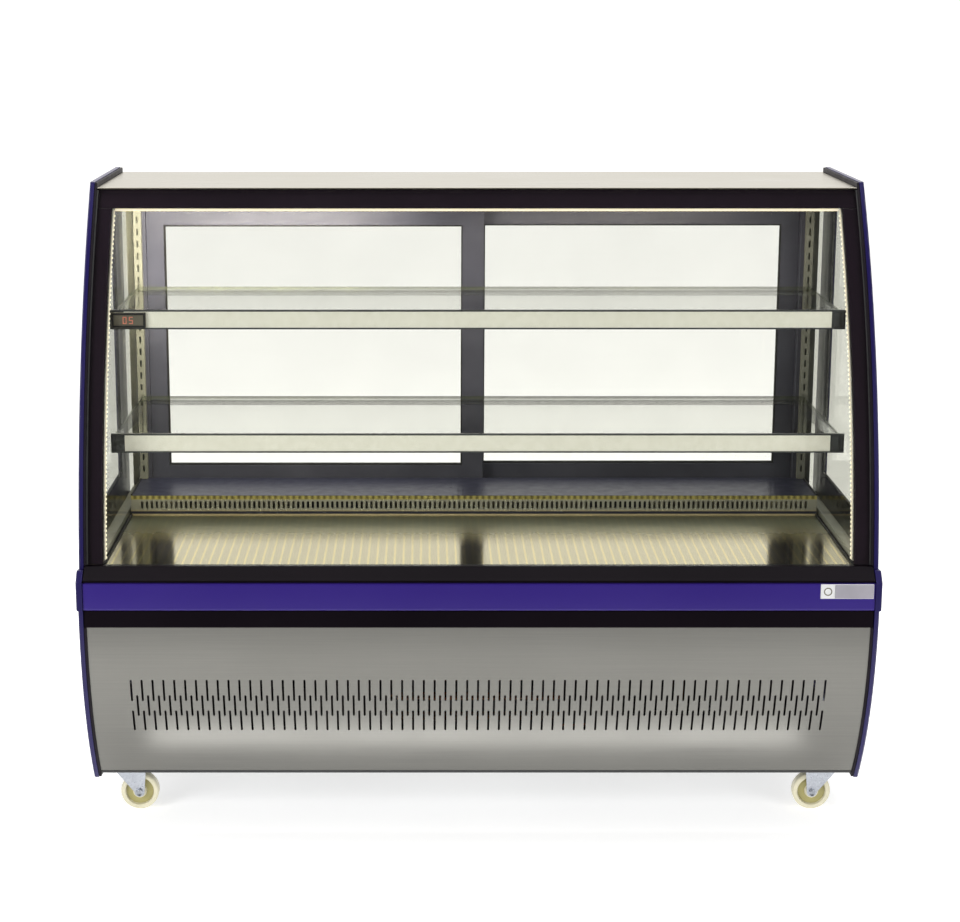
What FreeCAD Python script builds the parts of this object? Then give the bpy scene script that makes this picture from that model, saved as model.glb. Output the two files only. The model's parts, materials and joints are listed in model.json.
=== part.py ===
import FreeCAD, Part
import math
import os
import Sketcher
from FreeCAD import Rotation, Vector

# A curved-front refrigerated display case on four swivel casters.
# The origin is on the floor under the middle of the case. +X points to the right hand of
# a customer who stands in front of it, +Y from the front to the rear, +Z up. Millimetres.

DIMENSIONS = (
    # overall
    ("case_width", 1500, "over the bumper's end caps"),
    ("case_depth", 680, "bumper front to the rear edge of the end panels"),
    ("case_height", 1225, "floor to the top edge of the end panels"),
    ("case_clearance", 83, "floor to the bottom edge of the end panels"),
    # side profile: two arcs, one above and one below the bumper
    ("upper_arc_radius", 1400, "curved glass side of the profile"),
    ("upper_arc_y", 1076.7, "centre of that arc"),
    ("upper_arc_z", 355.8, "centre of that arc"),
    ("lower_arc_radius", 640, "curved skirt side of the profile"),
    ("lower_arc_y", 302.9, "centre of that arc"),
    ("lower_arc_z", 461.8, "centre of that arc"),
    # side walls, from the outside inwards
    ("cap_proud", 3, "end caps stand out from the end panels and the bumper"),
    ("panel_thickness", 9, "painted end panel"),
    ("trim_thickness", 5, "black edge trim beside the panel"),
    ("stile_width", 30, "side member of the front frame"),
    ("panel_edge_radius", 3, "rounding of the panel's outer edges"),
    ("window_bottom", 590, "window in the end panel"),
    ("window_top", 1165, "window in the end panel"),
    ("window_rear", 236, "window in the end panel"),
    ("window_front_inset", 52, "window's curved edge, inside the profile"),
    ("trim_depth", 16, "edge trim, across the panel"),
    ("trim_inset", 1, "edge trim, inside the panel's outline"),
    ("pane_thickness", 5, "each pane of the side walls"),
    ("side_pane_bottom", 532, "lower edge of the side panes"),
    ("side_pane_top", 1189, "upper edge of the side panes"),
    ("spacer_width", 12, "bar between the two side panes"),
    # front window
    ("glass_inset", 4, "curved pane, inside the profile"),
    ("glass_thickness", 6, "curved pane"),
    ("glass_bottom", 537, "lower edge of the curved pane"),
    ("glass_top", 1211, "upper edge of the curved pane"),
    ("frame_depth", 21.7, "front frame, across the profile"),
    ("frame_gap", 0.3, "bedding between the pane and its frame"),
    ("top_bar_bottom", 1177, "lower edge of the frame's top bar"),
    ("sill_low", 511.5, "bottom of the sloping sill"),
    ("sill_high", 536, "top of the sloping sill"),
    ("sill_back", 44, "rear face of the sill, behind the bumper's front"),
    ("sill_nose", 4, "nose of the sill, behind the bumper's front"),
    ("sill_nose_height", 3, "upright face of the sill's nose"),
    # bumper zone
    ("bumper_bottom", 457, "lower edge of the bumper"),
    ("bumper_top", 510, "upper edge of the bumper"),
    ("bumper_thickness", 15, "bumper extrusion"),
    ("cap_top", 531, "upper edge of the end caps"),
    ("cap_width", 12, "end cap, along the bumper"),
    ("cap_depth", 27.5, "end cap, from front to rear"),
    ("lower_trim_bottom", 423.5, "black strip under the bumper"),
    ("badge_length", 99, "blank badge on the bumper"),
    ("badge_height", 28, "blank badge on the bumper"),
    ("badge_thickness", 2.5, "blank badge on the bumper"),
    ("badge_x", 685, "middle of the badge"),
    ("badge_drop", 1, "top of the badge, under the bumper's top"),
    ("bumper_edge_radius", 4, "front edges of the bumper"),
    ("cap_face", 15, "slope of an end cap's top, from front to rear"),
    ("strip_setback", 3, "black strip, behind the bumper's front face"),
    ("strip_thickness", 14, "black strip, from front to rear"),
    # slotted skirt
    ("skirt_bottom", 92, "lower edge of the slotted skirt"),
    ("skirt_inset", 5, "skirt sheet, inside the profile"),
    ("sheet", 2, "thickness of the folded sheets"),
    ("slot_width", 4, "skirt slots"),
    ("slot_length", 46, "skirt slots"),
    ("slot_pitch", 20.5, "skirt slots"),
    ("slot_count", 65, "slots in the upper and lower rows, one more than in the middle row"),
    ("slot_row_upper", 292.5, "middle of the upper row of slots"),
    ("slot_row_middle", 259, "middle of the middle row of slots"),
    ("slot_row_lower", 225, "middle of the lower row of slots"),
    # roof
    ("roof_top", 1215, "top face of the roof panel"),
    ("roof_sheet", 3, "thickness of the roof's top sheet and front lip"),
    ("roof_front", 313, "front lip, behind the bumper's front"),
    ("roof_core_front", 356, "foam core, behind the bumper's front"),
    ("roof_core_bottom", 1190, "underside of the roof panel"),
    # display deck and rear air riser
    ("deck_top", 534, "top of the display deck"),
    ("deck_front", 45, "front edge, behind the bumper's front"),
    ("deck_lip", 15, "lip folded down at the deck's front"),
    ("riser_front", 435, "front face of the air riser, behind the bumper's front"),
    ("riser_top", 576, "top of the air riser"),
    ("grille_slot_width", 5, "slots of the air riser"),
    ("grille_slot_length", 16, "slots of the air riser"),
    ("grille_slot_pitch", 10, "slots of the air riser"),
    ("grille_slot_count", 137, "slots of the air riser"),
    ("grille_slot_z", 556, "middle of those slots"),
    # rear frame and doors
    ("rear_frame_front", 598, "front face, behind the bumper's front"),
    ("rear_frame_back", 678, "rear face, behind the bumper's front"),
    ("door_opening_bottom", 560, "top of the sill track"),
    ("door_opening_top", 1150, "underside of the head track"),
    ("jamb_width", 24, "rear frame's side member"),
    ("track_depth", 12, "grooves in the head track"),
    ("sill_groove_depth", 8, "grooves in the sill track"),
    ("door_thickness", 16, "sliding door"),
    ("inner_door_y", 612, "middle of the inner door, behind the bumper's front"),
    ("outer_door_y", 632, "middle of the outer door, behind the bumper's front"),
    ("door_stile", 36, "door's outer side member"),
    ("door_sill_gap", 1, "under a door, in its groove"),
    ("door_head_gap", 3, "over a door, in its groove"),
    ("meeting_stile", 44, "door's side member at the middle"),
    ("door_glass_bottom", 602, "visible pane of a door"),
    ("door_glass_top", 1111, "visible pane of a door"),
    ("track_clearance", 0.5, "between a door and its track, on each side"),
    ("finger_groove_height", 160, "finger groove in a door's outer stile"),
    ("finger_groove_width", 18, "finger groove in a door's outer stile"),
    ("finger_groove_depth", 8, "finger groove in a door's outer stile"),
    # shelves
    ("upper_shelf_z", 990, "top face of the upper shelf's glass"),
    ("upper_shelf_front", 203, "price rail, behind the bumper's front"),
    ("upper_shelf_rear", 549, "rear tube, behind the bumper's front"),
    ("lower_shelf_z", 757, "top face of the lower shelf's glass"),
    ("lower_shelf_front", 168, "price rail, behind the bumper's front"),
    ("lower_shelf_rear", 568, "rear tube, behind the bumper's front"),
    ("shelf_glass_thickness", 6, "both shelves"),
    ("shelf_tube_radius", 6, "both shelves"),
    ("shelf_arm_thickness", 4, "side arms of both shelves"),
    ("shelf_arm_height", 22, "side arms of both shelves"),
    ("shelf_half_width", 694, "outer faces of the side arms"),
    ("upright_width", 16, "slotted upright, along X"),
    ("upright_depth", 14, "slotted upright, along Y"),
    ("upright_slot_height", 14, "slots of the uprights"),
    ("upright_slot_pitch", 25, "slots of the uprights"),
    ("upright_slot_count", 22, "slots of the uprights"),
    ("upright_slot_start", 22, "lowest slot, above the upright's foot"),
    ("upright_slot_width", 4, "slots of the uprights"),
    ("rail_height", 37, "price rails"),
    ("rail_depth", 8, "price rails"),
    ("rail_over_glass", 3, "top of a price rail, above the shelf's glass"),
    ("rail_wall", 1.5, "thickness of a price rail's flanges"),
    ("rail_lip", 3, "lips that hold the insert"),
    ("rail_seat", 3.5, "back of the insert's groove, behind the rail's front"),
    ("rail_half_length", 700, "price rails"),
    ("rail_end_margin", 26, "bare channel beyond each end of the price insert"),
    ("thermometer_length", 66, "digital thermometer on the upper rail"),
    ("thermometer_height", 30, "digital thermometer on the upper rail"),
    ("thermometer_depth", 7, "digital thermometer on the upper rail"),
    # lighting
    ("led_width", 6, "channel of the light bars"),
    ("led_depth", 8, "channel of the light bars"),
    ("light_recess", 4, "side light bars, behind the frame's front"),
    ("light_foot_gap", 6, "under the side light bars"),
    ("light_head_gap", 2, "between the side light bars and the top bar"),
    # base
    ("base_bottom", 100, "underside of the base frame"),
    ("tube_size", 30, "square tubes of the base frame"),
    ("tube_wall", 2, "square tubes of the base frame"),
    ("inner_cross_x", 250, "inner cross tubes, to each side"),
    ("outer_cross_x", 675, "outer cross tubes, to each side"),
    ("base_front", 135, "front tube, behind the bumper's front"),
    ("base_back", 20, "rear tube, before the rear edge"),
    ("tray_front", 112, "base tray, behind the bumper's front"),
    ("tray_back", 18, "base tray, before the rear edge"),
    ("tray_front_lip", 14, "front lip of the base tray"),
    ("tray_rear_lip", 22, "rear lip of the base tray"),
    ("tub_bottom", 432, "underside of the foam tub"),
    ("tub_floor", 470, "floor of the foam tub"),
    ("tub_setback", 22, "front of the foam tub, behind the bumper's front"),
    ("tub_front_wall", 28, "front wall of the foam tub"),
    ("tub_rear_wall", 14, "rear wall of the foam tub"),
    ("tub_rear_ledge", 42, "floor of the tub behind its rear wall"),
    ("fascia_bottom", 471, "rear control panel"),
    ("rear_skin_y", 666, "front face of the rear panels, behind the bumper's front"),
    ("louvre_count", 9, "louvre slots in a column"),
    ("louvre_pitch", 36, "louvre slots"),
    ("louvre_length", 120, "louvre slots"),
    ("louvre_width", 8, "louvre slots"),
    ("louvre_start", 50, "lowest louvre slot, above the panel's lower edge"),
    ("inner_louvre_x", 380, "inner columns of louvre slots, to each side"),
    ("outer_louvre_x", 520, "outer columns of louvre slots, to each side"),
    ("gland_x", -660, "cord gland"),
    ("gland_z", 170, "cord gland"),
    ("controller_x", 610, "middle of the temperature controller"),
    ("controller_width", 78, "bezel of the temperature controller"),
    ("controller_height", 36, "bezel of the temperature controller"),
    ("controller_case_width", 70, "case of the temperature controller"),
    ("controller_case_height", 28, "case of the temperature controller"),
    ("controller_case_depth", 45, "case of the temperature controller, inside the panel"),
    # machinery
    ("compressor_x", 400, "axis of the compressor"),
    ("compressor_y", 60, "axis of the compressor"),
    ("compressor_radius", 85, "compressor's shell"),
    ("compressor_height", 205, "compressor's shell"),
    ("compressor_dome", 55, "domed top of the compressor's shell"),
    ("compressor_lift", 16, "compressor's shell, above the tray"),
    ("coil_width", 320, "condenser coil"),
    ("coil_depth", 45, "condenser coil"),
    ("coil_height", 250, "condenser coil"),
    ("coil_y", -190, "middle of the condenser coil"),
    ("fan_radius", 112, "condenser fan's blade tips"),
    ("fan_ring_radius", 119, "condenser fan's opening"),
    ("small_fan_size", 120, "evaporator fan's square frame"),
    ("small_fan_depth", 25, "evaporator fan's square frame"),
    ("small_fan_x", 300, "evaporator fans, to each side"),
    ("small_fan_y", 176, "axis of the evaporator fans"),
    ("evaporator_half", 520, "finned block of the evaporator, to each side"),
    ("evaporator_front", -110, "front face of the evaporator's finned block"),
    ("evaporator_back", -10, "rear face of the evaporator's finned block"),
    ("water_tray_left", -620, "left end of the tray for melt water"),
    ("water_tray_right", -330, "right end of the tray for melt water"),
    ("water_tray_front", -60, "front of the tray for melt water"),
    ("water_tray_back", 180, "rear of the tray for melt water"),
    ("water_tray_height", 38, "tray for melt water"),
    ("water_tray_wall", 3, "tray for melt water"),
    ("pipe_radius", 5, "copper pipes"),
    ("pipe_bend", 25, "copper pipes, middle line of the bends"),
    # casters
    ("caster_x", 690, "swivel axis, to each side"),
    ("front_caster_y", 180, "swivel axis, behind the bumper's front"),
    ("rear_caster_y", 590, "swivel axis, behind the bumper's front"),
    ("caster_trail", 25, "axle, inwards from the swivel axis"),
    ("wheel_radius", 37.5, "caster wheel"),
    ("wheel_width", 24, "caster wheel"),
    ("hub_radius", 13, "caster wheel"),
    ("axle_radius", 4, "caster axle"),
    ("running_gap", 0.05, "radial clearance of each running fit"),
    ("kingpin_radius", 6, "swivel pin"),
    ("plate_length", 80, "caster's mounting plate, along X"),
    ("plate_width", 60, "caster's mounting plate, along Y"),
    ("plate_thickness", 4, "caster's mounting plate"),
    ("race_radius", 23, "caster's swivel race"),
    ("race_height", 14, "caster's swivel race"),
)

doc = FreeCAD.newDocument("display_case")
sheet = doc.addObject("Spreadsheet::Sheet", "Dimensions")
for row, (alias, value, note) in enumerate(DIMENSIONS, start=1):
    sheet.set(f"A{row}", note)
    sheet.set(f"B{row}", str(value))
    sheet.setAlias(f"B{row}", alias)
doc.recompute()


# ---------------------------------------------------------------- sizes

class Size:
    """A length or coordinate that keeps its spreadsheet formula beside its present value."""

    def __init__(self, formula, value):
        self.formula = formula
        self.value = value

    def __add__(self, other):
        other = size(other)
        return Size(f"({self.formula} + {other.formula})", self.value + other.value)

    def __sub__(self, other):
        other = size(other)
        return Size(f"({self.formula} - {other.formula})", self.value - other.value)

    def __mul__(self, other):
        other = size(other)
        return Size(f"({self.formula} * {other.formula})", self.value * other.value)

    def __truediv__(self, other):
        other = size(other)
        return Size(f"({self.formula} / {other.formula})", self.value / other.value)

    def __neg__(self):
        return Size(f"(0 - {self.formula})", -self.value)

    __radd__ = __add__
    __rmul__ = __mul__


def size(value):
    """Turns a plain number into a Size and leaves a Size as it is."""
    if isinstance(value, Size):
        return value
    return Size(f"({value:.6f})", value)


def dim(alias):
    """The driving dimension with this alias."""
    return Size(f"Dimensions.{alias}", float(sheet.get(alias)))


def root_of_difference(longer, shorter):
    """The third side of a right triangle, from its longest side and one other."""
    formula = f"sqrt({longer.formula} ^ 2 - {shorter.formula} ^ 2)"
    return Size(formula, math.sqrt(longer.value ** 2 - shorter.value ** 2))


HALF_WIDTH = dim("case_width") / 2
FRONT = -dim("case_depth") / 2
REAR = dim("case_depth") / 2
PANEL_OUTER = HALF_WIDTH - dim("cap_proud")
PANEL_INNER = PANEL_OUTER - dim("panel_thickness")
TRIM_INNER = PANEL_INNER - dim("trim_thickness")
CLEAR_HALF = TRIM_INNER - dim("stile_width")
FIT_GAP = 0.5


def behind_front(alias):
    """The Y coordinate of something whose distance behind the bumper's front is in the sheet."""
    return FRONT + dim(alias)


def upper_y(z, inset=0):
    """Y of the profile's upper arc at a height, or of an arc that lies inside it by inset."""
    radius = dim("upper_arc_radius") - inset
    return dim("upper_arc_y") - root_of_difference(radius, z - dim("upper_arc_z"))


def lower_y(z, inset=0):
    """Y of the profile's lower arc at a height, or of an arc that lies inside it by inset."""
    radius = dim("lower_arc_radius") - inset
    return dim("lower_arc_y") - root_of_difference(radius, z - dim("lower_arc_z"))


# ---------------------------------------------------------------- sketches and features

# sketch plane: the origin feature's role, and which way its normal points along the axis
PLANES = {"YZ": ("YZ_Plane", 1), "XZ": ("XZ_Plane", -1), "XY": ("XY_Plane", 1)}


def new_body(label):
    return doc.addObject("PartDesign::Body", label)


def sketch(body, suffix, plane, at):
    """An empty sketch on one of the body's own origin planes, moved along its axis to at."""
    role, direction = PLANES[plane]
    origin_plane = [item for item in body.Origin.OriginFeatures if item.Role == role][0]
    new_sketch = body.newObject("Sketcher::SketchObject", f"{body.Name}_{suffix}")
    new_sketch.AttachmentSupport = [(origin_plane, "")]
    new_sketch.MapMode = "FlatFace"
    new_sketch.setExpression("AttachmentOffset.Base.z", (size(at) * direction).formula)
    return new_sketch


def pin(target, kind, geometry, position, coordinate):
    """Ties one coordinate of a point in a sketch. kind is DistanceX or DistanceY."""
    constraint = Sketcher.Constraint(kind, -1, 1, geometry, position, coordinate.value)
    number = target.addConstraint(constraint)
    target.setExpression(f"Constraints[{number}]", coordinate.formula)


def pin_point(target, geometry, position, across, up):
    """Ties both coordinates of a point in a sketch."""
    pin(target, "DistanceX", geometry, position, across)
    pin(target, "DistanceY", geometry, position, up)


def draw_outline(target, points, arcs=None):
    """Draws a closed outline. arcs gives, for a side's number, a point half way and a radius.

    A radius of None is a half round, whose centre lies midway between the side's two ends.
    """
    arcs = arcs or {}
    points = [(size(across), size(up)) for across, up in points]
    sides = []
    for side, start in enumerate(points):
        end = points[(side + 1) % len(points)]
        first = Vector(start[0].value, start[1].value, 0)
        last = Vector(end[0].value, end[1].value, 0)
        if side in arcs:
            middle, radius = arcs[side]
            half_way = Vector(size(middle[0]).value, size(middle[1]).value, 0)
            geometry = target.addGeometry(Part.Arc(first, half_way, last))
            to_first = [(target.getPoint(geometry, position) - first).Length for position in (1, 2)]
            forward = to_first[0] < to_first[1]
            sides.append((geometry, 1, 2) if forward else (geometry, 2, 1))
        else:
            geometry = target.addGeometry(Part.LineSegment(first, last))
            sides.append((geometry, 1, 2))
    for side, (geometry, start, end) in enumerate(sides):
        following = sides[(side + 1) % len(sides)]
        target.addConstraint(Sketcher.Constraint("Coincident", geometry, end, following[0], following[1]))
        pin_point(target, geometry, start, *points[side])
    for side, (middle, radius) in arcs.items():
        start, end = points[side], points[(side + 1) % len(points)]
        level = abs(start[1].value - end[1].value) < abs(start[0].value - end[0].value)
        if radius is None and level:
            pin(target, "DistanceY", sides[side][0], 3, start[1])
        elif radius is None:
            pin(target, "DistanceX", sides[side][0], 3, start[0])
        else:
            number = target.addConstraint(Sketcher.Constraint("Radius", sides[side][0], size(radius).value))
            target.setExpression(f"Constraints[{number}]", size(radius).formula)


def draw_circle(target, across, up, radius):
    circle = Part.Circle(Vector(size(across).value, size(up).value, 0), Vector(0, 0, 1), size(radius).value)
    geometry = target.addGeometry(circle)
    pin_point(target, geometry, 3, size(across), size(up))
    number = target.addConstraint(Sketcher.Constraint("Radius", geometry, size(radius).value))
    target.setExpression(f"Constraints[{number}]", size(radius).formula)


def rectangle(low_across, high_across, low_up, high_up):
    """The corners of a rectangle, as an outline."""
    return [(low_across, low_up), (high_across, low_up), (high_across, high_up), (low_across, high_up)]


def slot_outline(across, middle, width, length):
    """An upright slot with round ends, as an outline and its arcs."""
    radius = size(width) / 2
    low = size(middle) - size(length) / 2 + radius
    high = size(middle) + size(length) / 2 - radius
    points = rectangle(size(across) - radius, size(across) + radius, low, high)
    arcs = {0: ((across, low - radius), None), 2: ((across, high + radius), None)}
    return points, arcs


def flat_slot_outline(middle, up, width, length):
    """A level slot with round ends, as an outline and its arcs."""
    radius = size(width) / 2
    low = size(middle) - size(length) / 2 + radius
    high = size(middle) + size(length) / 2 - radius
    points = rectangle(low, high, size(up) - radius, size(up) + radius)
    arcs = {1: ((high + radius, up), None), 3: ((low - radius, up), None)}
    return points, arcs


def add_pad(body, profile, length):
    pad = body.newObject("PartDesign::Pad", f"{profile.Name}_pad")
    pad.Profile = profile
    pad.setExpression("Length", size(length).formula)
    return pad


def extruded(label, plane, low, high, points, arcs=None):
    """A body whose outline runs from low to high along the axis square to its plane."""
    body = new_body(label)
    at = size(low) if PLANES[plane][1] > 0 else size(high)
    profile = sketch(body, "outline", plane, at)
    draw_outline(profile, points, arcs)
    add_pad(body, profile, size(high) - low)
    return body


def cut_through(body, suffix, plane, low, high, points=None, arcs=None, circle=None):
    """Removes an outline or a circle from the body, from low to high square to the plane."""
    at = size(high) if PLANES[plane][1] > 0 else size(low)
    profile = sketch(body, suffix, plane, at)
    if circle:
        draw_circle(profile, *circle)
    else:
        draw_outline(profile, points, arcs)
    doc.recompute()
    before = body.Shape.Volume
    pocket = body.newObject("PartDesign::Pocket", f"{profile.Name}_pocket")
    pocket.Profile = profile
    pocket.setExpression("Length", (size(high) - low).formula)
    doc.recompute()
    if not body.Shape.Volume < before:
        raise RuntimeError(f"{profile.Name} removes nothing")
    return pocket


def repeat(body, feature, axis, count, pitch):
    """Repeats a feature along one of the body's own axes."""
    direction = [item for item in body.Origin.OriginFeatures if item.Role == f"{axis}_Axis"][0]
    pattern = body.newObject("PartDesign::LinearPattern", f"{feature.Name}_row")
    pattern.Originals = [feature]
    pattern.Direction = (direction, [""])
    pattern.setExpression("Occurrences", size(count).formula)
    pattern.setExpression("Length", ((size(count) - 1) * pitch).formula)
    body.Tip = pattern
    doc.recompute()
    return pattern


def round_edges(body, radius, chosen):
    """Rounds the edges of the body that the test picks."""
    doc.recompute()
    base = body.Tip
    names = [f"Edge{number}" for number, edge in enumerate(base.Shape.Edges, start=1) if chosen(edge)]
    fillet = body.newObject("PartDesign::Fillet", f"{body.Name}_rounding")
    fillet.Base = (base, names)
    fillet.setExpression("Radius", size(radius).formula)
    doc.recompute()
    return fillet


def on_face(edge, x):
    """Whether an edge lies in the plane at this X."""
    return abs(edge.BoundBox.XMin - x) < 0.01 and abs(edge.BoundBox.XMax - x) < 0.01


def turned(label, points, arcs=None, around="V_Axis"):
    """A body of revolution. The outline lies in the XZ plane, around Z, or around X."""
    body = new_body(label)
    profile = sketch(body, "outline", "XZ", 0)
    draw_outline(profile, points, arcs)
    revolution = body.newObject("PartDesign::Revolution", f"{body.Name}_turning")
    revolution.Profile = profile
    revolution.ReferenceAxis = (profile, [around])
    revolution.Angle = 360
    return body


# ---------------------------------------------------------------- primitives

def place(item, x=0, y=0, z=0, rotation=None):
    """Sets where an object stands, and binds its place to the sheet."""
    item.Placement = FreeCAD.Placement(Vector(), rotation or Rotation())
    for axis, coordinate in (("x", x), ("y", y), ("z", z)):
        item.setExpression(f"Placement.Base.{axis}", size(coordinate).formula)
    return item


def box(name, x, y, z):
    """A block from its low and high X, Y and Z."""
    block = doc.addObject("Part::Box", name)
    for side, (low, high) in (("Length", x), ("Width", y), ("Height", z)):
        block.setExpression(side, (size(high) - low).formula)
    return place(block, x[0], y[0], z[0])


ALONG = {"X": Rotation(Vector(0, 1, 0), 90), "Y": Rotation(Vector(1, 0, 0), -90), "Z": Rotation()}


def rod(name, axis, x, y, z, radius, length):
    """A cylinder that starts at a point and runs along an axis."""
    cylinder = doc.addObject("Part::Cylinder", name)
    cylinder.setExpression("Radius", size(radius).formula)
    cylinder.setExpression("Height", size(length).formula)
    return place(cylinder, x, y, z, ALONG[axis])


def joined(name, pieces):
    """One solid out of several that touch or overlap."""
    fusion = doc.addObject("Part::MultiFuse", name)
    fusion.Shapes = pieces
    return fusion


def remaining(name, block, cutters):
    """A block less its cutters."""
    cut = doc.addObject("Part::Cut", name)
    cut.Base = block
    cut.Tool = cutters[0] if len(cutters) == 1 else joined(f"{name}_cutters", cutters)
    return cut


def group(name, pieces):
    """Several separate solids in one node."""
    compound = doc.addObject("Part::Compound", name)
    compound.Links = pieces
    return compound


SIDES = (("left", -1), ("right", 1))


def span(side, inner, outer):
    """Low and high X of something between inner and outer on the left (-1) or right (1)."""
    low, high = size(inner) * side, size(outer) * side
    return (low, high) if low.value < high.value else (high, low)


def upper_band(outer_inset, inner_inset, low, high):
    """The outline of a strip that follows the upper arc between two heights."""
    low, high = size(low), size(high)
    middle = (low + high) / 2
    points = [(upper_y(low, outer_inset), low), (upper_y(high, outer_inset), high),
              (upper_y(high, inner_inset), high), (upper_y(low, inner_inset), low)]
    radius = dim("upper_arc_radius")
    arcs = {0: ((upper_y(middle, outer_inset), middle), radius - outer_inset),
            2: ((upper_y(middle, inner_inset), middle), radius - inner_inset)}
    return points, arcs


def lower_band(outer_inset, inner_inset, low, high):
    """The outline of a strip that follows the lower arc between two heights."""
    low, high = size(low), size(high)
    middle = (low + high) / 2
    points = [(lower_y(low, outer_inset), low), (lower_y(high, outer_inset), high),
              (lower_y(high, inner_inset), high), (lower_y(low, inner_inset), low)]
    radius = dim("lower_arc_radius")
    arcs = {0: ((lower_y(middle, outer_inset), middle), radius - outer_inset),
            2: ((lower_y(middle, inner_inset), middle), radius - inner_inset)}
    return points, arcs


# ---------------------------------------------------------------- side walls

def end_panel(name, side):
    """A painted side panel. Its outline is the case's profile, and the side panes show in its window."""
    outer, inner = PANEL_OUTER, PANEL_INNER
    low, high = span(side, inner, outer)
    cap_back = FRONT + dim("cap_proud") + dim("cap_depth")
    foot = dim("case_clearance")
    arc_top = dim("bumper_bottom") - FIT_GAP
    step = dim("cap_top") + FIT_GAP
    top = dim("case_height")
    arc_middle = (foot + arc_top) / 2
    glass_middle = (step + top) / 2
    points = [(cap_back, arc_top), (cap_back, step), (upper_y(step), step), (upper_y(top), top),
              (REAR, top), (REAR, foot), (lower_y(foot), foot), (lower_y(arc_top), arc_top)]
    arcs = {2: ((upper_y(glass_middle), glass_middle), dim("upper_arc_radius")),
            6: ((lower_y(arc_middle), arc_middle), dim("lower_arc_radius"))}
    panel = extruded(name, "YZ", low, high, points, arcs)
    face = (outer * side).value
    below_top = top.value - 1
    round_edges(panel, dim("panel_edge_radius"),
                lambda edge: on_face(edge, face) and edge.Length > 100 and edge.BoundBox.ZMin < below_top)
    inset = dim("window_front_inset")
    bottom, window_top = dim("window_bottom"), dim("window_top")
    half_way = (bottom + window_top) / 2
    opening = [(upper_y(bottom, inset), bottom), (upper_y(window_top, inset), window_top),
               (dim("window_rear"), window_top), (dim("window_rear"), bottom)]
    opening_arcs = {0: ((upper_y(half_way, inset), half_way), dim("upper_arc_radius") - inset)}
    cut_through(panel, "window", "YZ", low, high, opening, opening_arcs)
    return panel


def edge_trim(name, side):
    """The black extrusions beside an end panel's edge, above and below the bumper."""
    low, high = span(side, TRIM_INNER, PANEL_INNER)
    depth = dim("trim_depth")
    inset = dim("trim_inset")
    bottom, top = dim("glass_bottom"), dim("case_height") - inset
    rear = REAR - inset
    points, arcs = upper_band(inset, depth + inset, bottom, top - depth)
    half_way = (bottom + top) / 2
    points = [(upper_y(bottom, inset), bottom), (upper_y(top, inset), top), (rear, top), (rear, top - depth),
              points[2], points[3]]
    arcs = {0: ((upper_y(half_way, inset), half_way), dim("upper_arc_radius") - inset), 4: arcs[2]}
    above = extruded(f"{name}_upper", "YZ", low, high, points, arcs)
    outline = lower_band(inset, depth + inset, dim("case_clearance") + inset, dim("lower_trim_bottom"))
    below = extruded(f"{name}_lower", "YZ", low, high, *outline)
    return [above, below]


def side_pane_outline(margin):
    """The outline of a side pane, or of the space inside its spacer bars."""
    inset = dim("glass_inset") + dim("glass_thickness") + dim("frame_gap") + dim("frame_depth") + 1 + margin
    bottom, top = dim("side_pane_bottom") + margin, dim("side_pane_top") - margin
    rear = behind_front("rear_frame_back") - margin
    half_way = (bottom + top) / 2
    points = [(upper_y(bottom, inset), bottom), (upper_y(top, inset), top), (rear, top), (rear, bottom)]
    arcs = {0: ((upper_y(half_way, inset), half_way), dim("upper_arc_radius") - inset)}
    return points, arcs


def side_walls():
    """Panels, trims, panes and spacer bars of both sides."""
    trims = []
    spacers = []
    panels = []
    pane = dim("pane_thickness")
    for word, side in SIDES:
        panels.append(end_panel(f"end_panel_{word}", side))
        trims += edge_trim(f"trim_{word}", side)
        inner = extruded(f"inner_pane_{word}", "YZ", *span(side, CLEAR_HALF, CLEAR_HALF + pane),
                         *side_pane_outline(size(0)))
        outer_low = TRIM_INNER - pane - FIT_GAP
        outer = extruded(f"outer_pane_{word}", "YZ", *span(side, outer_low, TRIM_INNER - FIT_GAP),
                         *side_pane_outline(size(0)))
        panels.append(group(f"side_glass_{word}", [inner, outer]))
        low, high = span(side, CLEAR_HALF + pane, outer_low)
        spacer = extruded(f"spacer_{word}", "YZ", low, high, *side_pane_outline(size(1)))
        cut_through(spacer, "inside", "YZ", low, high, *side_pane_outline(dim("spacer_width") + 1))
        spacers.append(spacer)
    return panels + [group("edge_trims", trims), group("side_glass_spacers", spacers)]


# ---------------------------------------------------------------- front

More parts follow.
